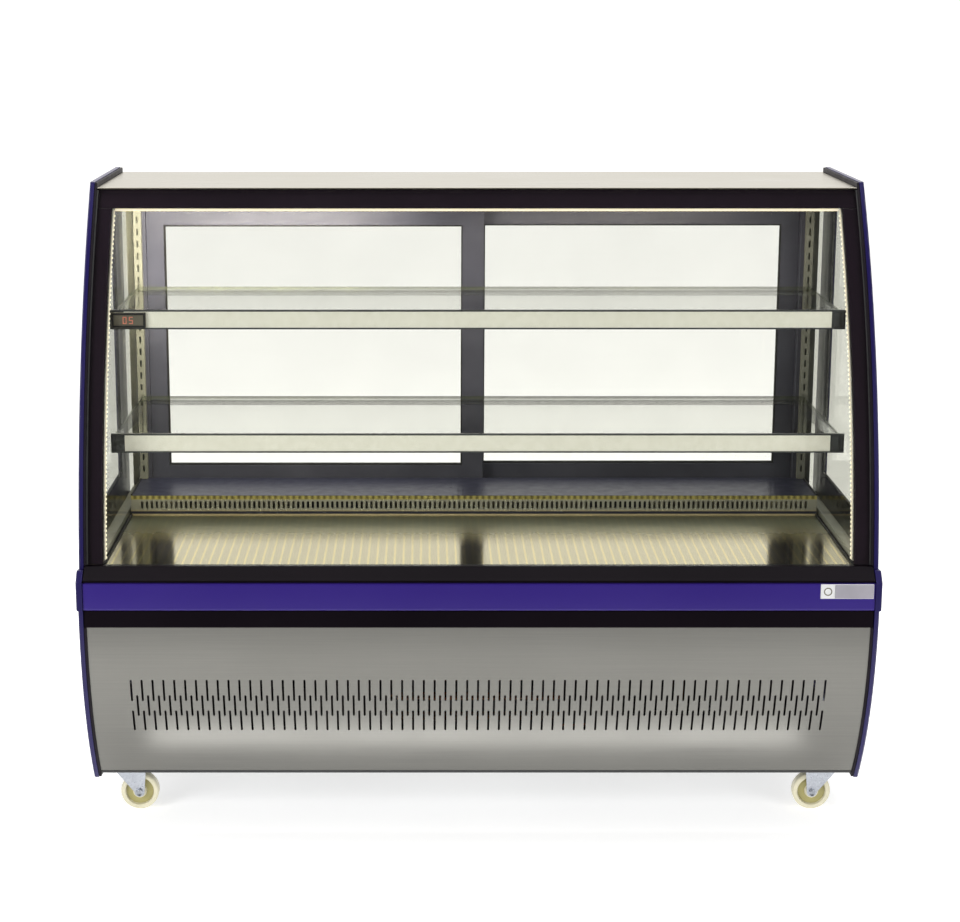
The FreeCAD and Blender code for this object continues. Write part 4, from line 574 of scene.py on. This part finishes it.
def side_light(side, channel, lens, chips):
    """A light bar up a stile: a channel, a diffuser beside it and a row of small lamps."""
    low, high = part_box("led_bars")
    z = (low.z, high.z - 0.0015)
    wall, cover, tip = high.x, high.x - 0.0025, high.x - 0.0045
    arc_band(channel, ordered(wall * side, cover * side), z, LIGHT_INSET, LIGHT_INSET + LIGHT_DEPTH)
    span = (z[0] + 0.002, z[1] - 0.002)
    front, back = LIGHT_INSET + 0.001, LIGHT_INSET + LIGHT_DEPTH - 0.001
    arc_band(lens, ordered(cover * side, tip * side), span, front, back)
    x = ordered(tip * side, (tip - 0.0014) * side)
    for step in range(int((z[1] - z[0] - 0.01) / LIGHT_PITCH) + 1):
        height = z[0] + 0.005 + step * LIGHT_PITCH
        front = arc_y(UPPER_ARC, height, LIGHT_INSET + 0.0015)
        block(chips, (x[0], front, height - CHIP), (x[1], front + 0.005, height + CHIP))


def top_light(channel, lens, chips):
    """The light bar under the top bar, which shines down."""
    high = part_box("led_bars")[1]
    top, reach = high.z, high.x - 0.0015
    front = arc_y(UPPER_ARC, top, LIGHT_INSET + 0.016)
    back = arc_y(UPPER_ARC, top, LIGHT_INSET + 0.022)
    ceiling, lens_foot, chip_top = top - 0.003, top - 0.0076, top - 0.0074
    block(channel, (-reach, front, ceiling), (reach, back, top))
    block(channel, (-reach, back - 0.001, top - LIGHT_DEPTH), (reach, back, ceiling))
    block(lens, (-reach + 0.001, front + 0.0004, lens_foot), (reach - 0.001, back - 0.0011, ceiling))
    count = int((2 * reach - 0.02) / LIGHT_PITCH)
    middle = mid(front, back)
    for step in range(count + 1):
        x = (step - count / 2) * LIGHT_PITCH
        block(chips, (x - CHIP, middle - CHIP, top - LIGHT_DEPTH), (x + CHIP, middle + CHIP, chip_top))


def light_bars():
    """The three light bars: their channels, their diffusers and their lamps."""
    channel, lens, top_lens, chips = bmesh.new(), bmesh.new(), bmesh.new(), bmesh.new()
    for _, side in SIDES:
        side_light(side, channel, lens, chips)
    top_light(channel, top_lens, chips)
    piece("light_channels", channel, LED_CHANNEL, 0.0003, node="led_bars")
    piece("side_light_lenses", lens, SIDE_LAMP, 0.0003)
    piece("top_light_lens", top_lens, TOP_LAMP, 0.0003)
    piece("light_chips", chips, LAMP_CORE)


def sealant():
    """Black sealant where the side glass meets the deck and the riser, and along the curved pane."""
    deck_low, deck_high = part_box("deck")
    riser_low, riser_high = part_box("rear_duct_grille")
    glass_low, glass_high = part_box("front_glass")
    bead, lip, pane_front, pane_back = 0.003, 0.001, 0.0022, 0.004
    lines = bmesh.new()
    for _, side in SIDES:
        x = ordered(deck_high.x * side, (deck_high.x - bead) * side)
        for low, high in ((deck_low, deck_high), (riser_low, riser_high)):
            block(lines, (x[0], low.y, high.z), (x[1], high.y, high.z + bead))
        rim = ordered(glass_high.x * side, (glass_high.x - bead) * side)
        arc_band(lines, rim, (glass_low.z + lip, glass_high.z - lip), pane_front, pane_back)
    block(lines, (-deck_high.x, deck_low.y - 0.002, deck_high.z - lip),
          (deck_high.x, deck_low.y, deck_high.z + 0.002))
    piece("sealant_lines", lines, RUBBER, 0.0006)


def window_gasket(word, side):
    """The rubber round an end panel's window."""
    panel_low, panel_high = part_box(f"end_panel_{word}")
    inner = panel_high.x if side < 0 else panel_low.x
    x = ordered(inner, inner + 0.0055 * side)
    bottom, top, rear, inset, thick = 0.590, 1.165, 0.236, 0.052, 0.004
    gasket = bmesh.new()
    arc_band(gasket, x, (bottom, top), inset, inset + thick)
    block(gasket, (x[0], arc_y(UPPER_ARC, bottom, inset), bottom), (x[1], rear, bottom + thick))
    block(gasket, (x[0], arc_y(UPPER_ARC, top, inset), top - thick), (x[1], rear, top))
    block(gasket, (x[0], rear - thick, bottom), (x[1], rear, top))
    piece(f"window_gasket_{word}", gasket, RUBBER, 0.0008)


shelf_glass("upper")
shelf_glass("lower")
light_bars()
sealant()
for word, side in SIDES:
    window_gasket(word, side)


# ---- front

def badge():
    """A blank badge: a white tile with a plain ring, and a silver plate, on a raised backing."""
    low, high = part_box("badge")
    depth = mid(low.y, high.y)
    tile_share, margin, skin_depth = 0.27, 0.001, 0.0003
    split = low.x + tile_share * (high.x - low.x)
    front, bottom, top = low.y + skin_depth, low.z + margin, high.z - margin
    mesh = bmesh.new()
    block(mesh, (low.x, depth, low.z), high)
    piece("badge_backing", mesh, WHITE_PLASTIC, 0.0006, node="badge")
    mesh = bmesh.new()
    block(mesh, (low.x + margin, front, bottom), (split - margin, depth, top))
    piece("badge_tile", mesh, WHITE_PLASTIC, 0.0006)
    mesh = bmesh.new()
    centre = (mid(low.x, split), low.y, mid(low.z, high.z))
    turned(mesh, collar(0.0058, 0.0078, 0, 0.0005), centre, (0, 1, 0), 32, True)
    piece("badge_ring", mesh, GREY_PLASTIC)
    mesh = bmesh.new()
    block(mesh, (split, front, bottom), (high.x - margin, depth, top))
    piece("badge_plate", mesh, BADGE_PLATE, 0.0007)


def skirt_dark_strip():
    """The dark strip along the skirt's lower edge."""
    low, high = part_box("front_grille_panel")
    height, front_inset, back_inset = (low.z + 0.0005, low.z + 0.0065), 0.0045, 0.016
    dark_strip = bmesh.new()
    arc_band(dark_strip, (low.x, high.x), height, front_inset, back_inset, LOWER_ARC, 2)
    piece("skirt_dark_strip", dark_strip, BLACK_PLASTIC, 0.0008)


badge()
skirt_dark_strip()


# ---- shelves

# which of a digit's seven bars are lit
DIGIT_BARS = {"0": "abcdef", "4": "fgbc", "5": "afgcd"}


def digit(mesh, shape, left, bottom, size, y, thickness, direction=1):
    """Adds a seven-bar digit that faces along Y. direction is 1 when +X is to the reader's right."""
    bar = size * 0.14
    width, half, gap = size * 0.55, size / 2, bar * 0.12
    spots = {
        "a": (0, size - bar, width, size), "g": (0, half - bar / 2, width, half + bar / 2),
        "d": (0, 0, width, bar), "f": (0, half, bar, size), "b": (width - bar, half, width, size),
        "e": (0, 0, bar, half), "c": (width - bar, 0, width, half),
    }
    for letter in DIGIT_BARS[shape]:
        x0, z0, x1, z1 = spots[letter]
        x = ordered(left + direction * x0, left + direction * x1)
        block(mesh, (x[0] + gap, y, bottom + z0 + gap), (x[1] - gap, y + thickness, bottom + z1 - gap))


def thermometer():
    """A module on the upper rail: a grey case, a dark raised rim and a dim number in it."""
    low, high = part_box("thermometer")
    depth = high.y - low.y
    mesh = bmesh.new()
    block(mesh, (low.x, low.y + depth * 0.3, low.z), high)
    piece("thermometer_case", mesh, GREY_PLASTIC, 0.0012, 3, node="thermometer")
    margin, edge = 0.001, 0.004
    x, z = (low.x + margin, high.x - margin), (low.z + margin, high.z - margin)
    rim = bmesh.new()
    picture_frame(rim, x, (low.y + 0.0006, low.y + depth * 0.35), z, edge)
    piece("thermometer_rim", rim, BLACK_PLASTIC, 0.0006)
    indent, rise, pitch, height = 0.022, 0.008, 0.012, 0.014
    number = bmesh.new()
    for place, shape in enumerate("05"):
        left = low.x + indent + place * pitch
        digit(number, shape, left, low.z + rise, height, low.y + 0.0016, 0.0006)
    piece("thermometer_number", number, DIGITS)


def rail_ends():
    """Moulded caps on the ends of the price rails, and the clips beside them."""
    rail_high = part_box("price_rails")[1]
    rail_height, rail_depth, lip, skin_depth = 0.037, 0.008, 0.003, 0.0002
    cap_width, clip_start, clip_end, clip_margin = 0.0035, 0.010, 0.024, 0.004
    caps, clips = bmesh.new(), bmesh.new()
    for word in ("upper", "lower"):
        glass_low, glass_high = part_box(f"{word}_shelf_glass")
        top = glass_high.z + lip
        bottom = top - rail_height
        back = glass_low.y - 0.001
        front = back - rail_depth
        for _, side in SIDES:
            x = ordered(rail_high.x * side, (rail_high.x - cap_width) * side)
            block(caps, (x[0], front + skin_depth, bottom + 0.0004), (x[1], back - skin_depth, top - 0.0004))
            x = ordered((rail_high.x - clip_start) * side, (rail_high.x - clip_end) * side)
            block(clips, (x[0], front + 0.0006, bottom + clip_margin),
                  (x[1], front + 0.0034, top - clip_margin))
    piece("rail_end_caps", caps, BLACK_PLASTIC, 0.0006)
    piece("rail_clips", clips, RAIL, 0.0006)


def shelf_hooks():
    """Steel hooks behind each side arm, in the uprights' slots, and the pads under the glass."""
    half_gauge, pad_radius, pad_inset = 0.0012, 0.005, 0.012
    hooks, pads = bmesh.new(), bmesh.new()
    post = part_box("shelf_uprights")[0].y
    for word in ("upper", "lower"):
        arm_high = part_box(f"{word}_shelf_frame")[1]
        glass_low, glass_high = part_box(f"{word}_shelf_glass")
        for _, side in SIDES:
            x = (arm_high.x - 0.002) * side
            block(hooks, (x - half_gauge, arm_high.y - 0.001, arm_high.z - 0.032),
                  (x + half_gauge, post + 0.004, arm_high.z - 0.010))
            block(hooks, (x - half_gauge, post - 0.0004, arm_high.z - 0.040),
                  (x + half_gauge, post + 0.003, arm_high.z - 0.028))
            pad = (glass_high.x - pad_inset) * side
            for y in (glass_low.y + 0.03, glass_high.y - 0.04):
                rod(pads, (pad, y, glass_low.z - 0.0018), (pad, y, glass_low.z - 0.0001), pad_radius)
    piece("shelf_hooks", hooks, STAINLESS, 0.0004)
    piece("shelf_pads", pads, RUBBER, 0.0003)


thermometer()
rail_ends()
shelf_hooks()


# ---- rear doors and panels

def door_fittings(word, side):
    """A door's glazing beads, finger pull, rollers and the brush at its meeting stile."""
    frame_low, frame_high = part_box(f"{word}_door_frame")
    glass_low, glass_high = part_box(f"{word}_door_glass")
    body = f"{word}_door"
    bead = 0.003
    mesh = bmesh.new()
    for y in ((glass_low.y - bead, glass_low.y), (glass_high.y, glass_high.y + bead)):
        picture_frame(mesh, (glass_low.x, glass_high.x), y, (glass_low.z, glass_high.z), bead)
    piece(f"{word}_glazing_beads", mesh, RUBBER, 0.0008, body=body)

    half_stile, rim, rim_height, pan, pan_height = 0.018, 0.012, 0.083, 0.008, 0.07
    centre = (frame_high.x - half_stile) if side > 0 else (frame_low.x + half_stile)
    middle = mid(glass_low.z, glass_high.z)
    back = frame_high.y
    mesh = bmesh.new()
    picture_frame(mesh, (centre - rim, centre + rim), (back - 0.0005, back + 0.0016),
                  (middle - rim_height, middle + rim_height), bead)
    block(mesh, (centre - pan, back - 0.0079, middle - pan_height),
          (centre + pan, back - 0.0066, middle + pan_height))
    piece(f"{word}_finger_pull", mesh, ALUMINIUM, 0.0006, body=body)

    roller_inset, roller_height = 0.07, 0.0085
    mesh = bmesh.new()
    for x in (frame_low.x + roller_inset, frame_high.x - roller_inset):
        axle = (x, mid(frame_low.y, frame_high.y), frame_low.z + roller_height)
        turned(mesh, collar(0.0045, 0.0088, -0.003, 0.003), axle, (0, 1, 0), 32)
    piece(f"{word}_door_rollers", mesh, NYLON, 0.0005, body=body)

    brush_inset, half_brush = 0.012, 0.003
    if side < 0:
        x, y = frame_high.x - brush_inset, (frame_high.y, frame_high.y + 0.0032)
    else:
        x, y = frame_low.x + brush_inset, (frame_low.y - 0.0004, frame_low.y)
    mesh = bmesh.new()
    block(mesh, (x - half_brush, y[0], frame_low.z + brush_inset),
          (x + half_brush, y[1], frame_high.z - brush_inset))
    piece(f"{word}_brush_seal", mesh, RUBBER, 0.0001, body=body)


def louvre_hoods():
    """A pressed hood over each louvre slot of the service panel."""
    low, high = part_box("rear_service_panel")
    columns, rows, first_row, pitch, above_slot = (-0.520, -0.380, 0.380, 0.520), 9, 0.050, 0.036, 0.006
    half, reach, rise, gauge, steps = 0.060, 0.0068, 0.008, 0.001, 6
    turns = [math.pi / 2 * step / steps for step in range(steps + 1)]
    hoods = bmesh.new()
    for column in columns:
        for row in range(rows):
            foot = low.z + first_row + row * pitch + above_slot - rise
            outer = [(high.y + reach * math.sin(turn), foot + rise * math.cos(turn)) for turn in turns]
            inner = [(high.y + (reach - gauge) * math.sin(turn), foot + (rise - gauge) * math.cos(turn))
                     for turn in reversed(turns)]
            strip_along_x(hoods, outer + inner, column - half, column + half)
            for end in (column - half, column + half - gauge):
                strip_along_x(hoods, [(high.y, foot)] + outer, end, end + gauge)
    piece("louvre_hoods", hoods, GALVANISED)


def islands_of(mesh):
    """The separate solids of a mesh, each as a list of points."""
    islands = []
    unseen = set(mesh.verts)
    for seed in mesh.verts:
        if seed not in unseen:
            continue
        unseen.remove(seed)
        stack, island = [seed], []
        while stack:
            vert = stack.pop()
            island.append(vert.co.copy())
            for edge in vert.link_edges:
                other = edge.other_vert(vert)
                if other in unseen:
                    unseen.remove(other)
                    stack.append(other)
        islands.append(island)
    return islands


def screws():
    """Pan-head screws, each turned to an angle of its own, with a dark cross of painted shade where its cross
    recess would be.
    """
    mesh = bmesh.new()
    mesh.from_mesh(frame["nodes"]["panel_screws"].data)
    bmesh.ops.remove_doubles(mesh, verts=mesh.verts, dist=TOUCH)
    islands = islands_of(mesh)
    mesh.free()
    heads, recess_shade = bmesh.new(), bmesh.new()
    profile = [(0, 0.005), (0.0008, 0.005), (0.0016, 0.0044), (0.0022, 0.003), (0.0024, 0.0015)]
    bar = Matrix.Diagonal((0.0052, 0.0003, 0.0009, 1))
    for island in islands:
        across, along, up = zip(*island)
        x, y, z = mid(min(across), max(across)), min(along), mid(min(up), max(up))
        turned(heads, profile, (x, y, z), (0, 1, 0), 28)
        # each cross is a dark block on the head: painted shade standing for the recess, which is not cut
        face = Matrix.Translation((x, y + 0.00235, z))
        for quarter_turn in (0, math.pi / 2):
            turn = Matrix.Rotation(x * 13 + z * 7 + quarter_turn, 4, "Y")
            bmesh.ops.create_cube(recess_shade, size=1, matrix=face @ turn @ bar)
    piece("screw_heads", heads, ZINC, node="panel_screws")
    piece("screw_recess_shade", recess_shade, RUBBER)


def controller():
    """The temperature controller: bezel, dark window with a number, and four keys."""
    low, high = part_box("temperature_controller")
    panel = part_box("control_panel")[1].y
    face = high.y
    margin = 0.004
    mesh = bmesh.new()
    block(mesh, (low.x + margin, low.y, low.z + margin), (high.x - margin, panel, high.z - margin))
    block(mesh, (low.x, panel, low.z), (high.x, face - 0.0012, high.z))
    piece("controller_body", mesh, BLACK_PLASTIC, 0.0012, 3, node="temperature_controller")

    left, right, sill = low.x + 0.030, high.x - 0.006, 0.005
    mesh = bmesh.new()
    block(mesh, (left, face - 0.0014, low.z + sill), (right, face - 0.0006, high.z - sill))
    piece("controller_window", mesh, DISPLAY, 0.0003)

    indent, pitch, rise, height = 0.007, 0.013, 0.010, 0.016
    mesh = bmesh.new()
    for place, shape in enumerate("04"):
        start = right - indent - place * pitch
        digit(mesh, shape, start, low.z + rise, height, face - 0.0007, 0.0004, -1)
    piece("controller_number", mesh, DIGITS)

    key_inset, key_pitch, key_spread, key_radius, key_top = 0.009, 0.012, 0.014, 0.0042, 0.0038
    mesh = bmesh.new()
    for column in (0, 1):
        for line in (-0.5, 0.5):
            x, z = low.x + key_inset + column * key_pitch, mid(low.z, high.z) + line * key_spread
            rod(mesh, (x, face - 0.0014, z), (x, face - 0.0002, z), key_radius, key_top)
    piece("controller_keys", mesh, GREY_PLASTIC, 0.0003)


def switch_fittings(word):
    """A moulded bezel round a rocker, and the rocker's marks for on and off."""
    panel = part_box("control_panel")[1].y
    low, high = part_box(f"{word}_switch")
    x, z = mid(low.x, high.x), mid(low.z, high.z)
    half_x, half_z = 0.0168, 0.0244
    mesh = bmesh.new()
    picture_frame(mesh, (x - half_x, x + half_x), (panel, panel + 0.0022), (z - half_z, z + half_z), 0.0032)
    piece(f"{word}_switch_bezel", mesh, BLACK_PLASTIC, 0.0006)
    half_line, base = 0.0007, high.y - 0.0017
    mesh = bmesh.new()
    block(mesh, (x - half_line, base, z - 0.0145), (x + half_line, high.y - 0.0006, z - 0.0085))
    turned(mesh, collar(0.0022, 0.0032, 0, 0.0011), (x, base, z + 0.0115), (0, 1, 0), 24, True)
    piece(f"{word}_switch_marks", mesh, WHITE_PLASTIC, body=f"{word}_rocker")


for word, side in SIDES:
    door_fittings(word, side)
louvre_hoods()
screws()
controller()
for word in ("power", "light"):
    switch_fittings(word)


# ---- machinery

def return_bend(mesh, end, radius, thickness, side, steps=10, sides=12):
    """Adds a half-round bend in a level plane that joins two tubes at one end."""
    rings = []
    for step in range(steps + 1):
        turn = math.pi * step / steps - math.pi / 2
        outward = Vector((math.cos(turn) * side, math.sin(turn), 0))
        centre = Vector(end) + Vector((0.65 * radius * outward.x, radius * outward.y, 0))
        ring = []
        for around in range(sides):
            angle = 2 * math.pi * around / sides
            rise = Vector((0, 0, math.sin(angle) * thickness))
            ring.append(mesh.verts.new(centre + outward * math.cos(angle) * thickness + rise))
        rings.append(ring)
    skin(mesh, rings)


def condenser():
    """The condenser: thin fins on rows of tube between two end plates, with the return bends."""
    low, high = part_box("condenser_coil")
    middle = mid(low.y, high.y)
    reach = high.x - 0.016
    pitch, half_fin, edge, plate_gap = 0.0042, 0.0001, 0.004, 0.0025
    rows, first_row, row_pitch, spread, tube = 6, 0.029, 0.040, 0.011, 0.0048
    fins, plates, tubes = bmesh.new(), bmesh.new(), bmesh.new()
    count = int(2 * reach / pitch)
    for step in range(count + 1):
        x = (step - count / 2) * pitch
        block(fins, (x - half_fin, low.y + edge, low.z + 0.008), (x + half_fin, high.y - edge, high.z - edge))
    for _, side in SIDES:
        x = ordered((reach + plate_gap) * side, (reach + edge) * side)
        block(plates, (x[0], low.y, low.z), (x[1], high.y, high.z))
    for row in range(rows):
        z = low.z + first_row + row * row_pitch
        for y in (middle - spread, middle + spread):
            rod(tubes, (-reach - 0.006, y, z), (reach + 0.006, y, z), tube, sides=16)
        for _, side in SIDES:
            return_bend(tubes, ((reach + edge) * side, middle, z), spread, tube, side)
    piece("condenser_fins", fins, ALUMINIUM, node="condenser_coil")
    piece("condenser_plates", plates, GALVANISED, 0.0003)
    piece("condenser_tubes", tubes, COPPER)


def compressor_details():
    """The shell's weld seam, the cover of the terminals and the nuts on the feet."""
    low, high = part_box("compressor")
    x, y = 0.400, mid(low.y, high.y)
    seam_height, shell, seam_radius = 0.126, 0.0848, 0.0868
    seam = [(-0.004, shell), (-0.0025, seam_radius), (0.0025, seam_radius), (0.004, shell)]
    mesh = bmesh.new()
    turned(mesh, seam, (x, y, low.z + seam_height), (0, 0, 1), 64)
    piece("compressor_seam", mesh, ENAMEL)

    half_cover, cover_depth = 0.022, 0.003
    mesh = bmesh.new()
    block(mesh, (high.x - cover_depth, y - half_cover, low.z + 0.082),
          (high.x, y + half_cover, low.z + 0.140))
    piece("terminal_cover", mesh, BLACK_PLASTIC, 0.0015, 3)

    foot_x, foot_y, nut, nut_radius, bolt, bolt_radius = 0.085, 0.055, 0.006, 0.0075, 0.011, 0.0035
    base = low.z + 0.0162
    mesh = bmesh.new()
    for across in (x - foot_x, x + foot_x):
        for along in (y - foot_y, y + foot_y):
            rod(mesh, (across, along, base), (across, along, base + nut), nut_radius, sides=6)
            rod(mesh, (across, along, base + nut), (across, along, base + bolt), bolt_radius, sides=16)
    piece("compressor_nuts", mesh, ZINC, 0.0004)


condenser()
compressor_details()


# ---- casters

def quarter(centre_along, centre_radius, radius, start, steps=6):
    """Points of a quarter round in a turned outline."""
    points = []
    for step in range(steps + 1):
        turn = start + math.pi / 2 * step / steps
        points.append((centre_along - radius * math.cos(turn), centre_radius + radius * math.sin(turn)))
    return points


def wheel(row, word):
    """A cream nylon wheel: rounded tread, recessed web, and an olive liner and discs at its hub."""
    node = f"{row}_{word}_caster_wheel"
    low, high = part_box(node)
    centre = (low + high) / 2
    radius = (high.z - low.z) / 2
    half, web, corner, bore = 0.012, 0.0052, 0.005, 0.0072
    body = BODY_OF[node]
    right_half = [(half, radius * 0.76), (half - 0.0015, radius * 0.74), (web, radius * 0.72),
                  (web, radius * 0.36), (half, radius * 0.345), (half, bore)]
    left_half = [(-along, distance) for along, distance in reversed(right_half)]
    shoulder = radius - corner
    crown = quarter(corner - half, shoulder, corner, 0)
    crown += quarter(half - corner, shoulder, corner, math.pi / 2)
    tread = bmesh.new()
    turned(tread, crown + right_half + left_half, centre, (0, 1, 0), 72, True)
    piece(f"{row}_{word}_wheel_tread", tread, NYLON, 0.0004, body=body, node=node)

    sleeve = [(-0.0128, 0.0044), (-0.0128, 0.0082), (-0.0118, 0.0092), (0.0118, 0.0092),
              (0.0128, 0.0082), (0.0128, 0.0044)]
    back, front, hub, rim = 0.0053, 0.0057, radius * 0.37, radius * 0.71
    liner = bmesh.new()
    turned(liner, sleeve, centre, (0, 1, 0), 40, True)
    for hand in (-1, 1):
        disc = [(hand * back, hub), (hand * front, hub), (hand * front, rim), (hand * back, rim)]
        turned(liner, disc, centre, (0, 1, 0), 56, True)
    piece(f"{row}_{word}_wheel_liner", liner, OLIVE, body=body)


def fork_fittings(row, word):
    """The hexagons at the ends of a caster's axle bolt."""
    wheel_low, wheel_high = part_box(f"{row}_{word}_caster_wheel")
    axle = (wheel_low + wheel_high) / 2
    low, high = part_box(f"{row}_{word}_caster_fork")
    mesh = bmesh.new()
    for end, hand in ((low.y, -1), (high.y, 1)):
        rod(mesh, (axle.x, end - 0.0048 * hand, axle.z), (axle.x, end, axle.z), 0.0072, sides=6)
    piece(f"{row}_{word}_axle_nuts", mesh, ZINC, 0.0005, body=f"{row}_{word}_caster")


def plate_bolts():
    """The bolts that hold the casters' plates to the base."""
    low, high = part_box("caster_plates")
    under = high.z - 0.004
    plate_x, plate_y, hole_x, hole_y = 0.040, 0.030, 0.031, 0.022
    head, head_radius, end, end_radius = 0.0045, 0.0062, 0.008, 0.003
    mesh = bmesh.new()
    for row, _, side in CASTERS:
        x = (high.x - plate_x) * side
        y = low.y + plate_y if row == "front" else high.y - plate_y
        for across in (x - hole_x, x + hole_x):
            for along in (y - hole_y, y + hole_y):
                rod(mesh, (across, along, under - head), (across, along, under), head_radius, sides=6)
                rod(mesh, (across, along, under - end), (across, along, under - head), end_radius, sides=14)
    piece("caster_bolts", mesh, ZINC, 0.0004)


for row, word, _ in CASTERS:
    wheel(row, word)
    fork_fittings(row, word)
plate_bolts()


# ---- studio

def floor():
    """Pale paper under and behind the case, which falls off to grey well in front of it."""
    mesh = bmesh.new()
    bmesh.ops.create_grid(mesh, x_segments=2, y_segments=2, size=14)
    data = bpy.data.meshes.new("studio_floor")
    mesh.to_mesh(data)
    mesh.free()
    item = placed("studio_floor", data)
    finish = Finish("floor_paper", Roughness=0.85, Emission_Strength=0.95)
    dark_until, pale_from = -1.8, -0.95
    paper = finish.blend(finish.noise(2), (0.64, 0.64, 0.64), (0.66, 0.66, 0.66))
    backward = finish.spread(finish.axis("Y"), 0, 1, dark_until, pale_from)
    shade = finish.blend(backward, (0.05, 0.05, 0.05), paper)
    finish.link(shade, "Base Color")
    finish.link(shade, "Emission Color")
    data.materials.append(finish.material)


def softbox(name, place, aim, width, height, energy, colour=(1, 1, 1), mirrored=True):
    """A rectangular lamp that faces a point. It is never in view itself, but gloss may mirror it."""
    lamp = bpy.data.lights.new(name, "AREA")
    lamp.shape = "RECTANGLE"
    lamp.size = width
    lamp.size_y = height
    lamp.energy = energy
    lamp.color = colour
    item = placed(name, lamp)
    item.location = place
    item.rotation_euler = (Vector(aim) - Vector(place)).to_track_quat("-Z", "Y").to_euler()
    item.visible_camera = False
    item.visible_glossy = mirrored


def sky():
    """A white surround behind and beside the case, and a dim room in front of it."""
    world = bpy.data.worlds.new("studio")
    bpy.context.scene.world = world
    world.use_nodes = True
    nodes, links = world.node_tree.nodes, world.node_tree.links
    direction = nodes.new("ShaderNodeTexCoord").outputs["Generated"]
    parts = nodes.new("ShaderNodeSeparateXYZ")
    links.new(direction, parts.inputs[0])
    behind = nodes.new("ShaderNodeMapRange")
    for socket, value in (("From Min", -0.3), ("From Max", 0.1), ("To Min", 0.07), ("To Max", 1.2)):
        behind.inputs[socket].default_value = value
    links.new(parts.outputs["Y"], behind.inputs["Value"])
    links.new(behind.outputs[0], nodes["Background"].inputs["Strength"])
    nodes["Background"].inputs["Color"].default_value = (1, 0.99, 0.96, 1)


def camera():
    """The view from in front: a little above the case, square to it and aimed down a little."""
    data = bpy.data.cameras.new("camera")
    data.lens = 80.69
    data.sensor_width = 36
    data.shift_x = 0.0575
    item = placed("camera", data)
    item.location = (-0.1007, -4.1923, 1.5921)
    downward = 12.415
    item.rotation_euler = (math.radians(90 - downward), 0, 0)
    bpy.context.scene.camera = item


floor()
sky()
softbox("skirt_light", (0, -0.335, 0.02), (0, -0.24, 0.2), 1.3, 0.06, 0.6)
softbox("overhead", (0, 0.6, 3.4), (0, 0.6, 0), 3.6, 2.0, 75)
softbox("front_left", (-3.4, -3.4, 2.2), (0, 0, 0.7), 2.4, 2.4, 140)
softbox("front_right", (3.4, -3.4, 2.0), (0, 0, 0.6), 2.4, 2.4, 80)
# two lamps under the top of the curved glass stand in for the light of the light bars
WARM = (1.0, 0.9, 0.68)
under_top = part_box("front_glass")[1].z - 0.08
softbox("case_light", (-0.44, 0.03, under_top), (-0.46, 0.27, 0.9), 0.5, 0.05, 20, WARM, False)
softbox("case_fill", (0.3, 0.03, under_top), (0.3, 0.27, 0.9), 0.5, 0.05, 5, WARM, False)
bpy.context.scene.view_settings.view_transform = "Standard"
camera()
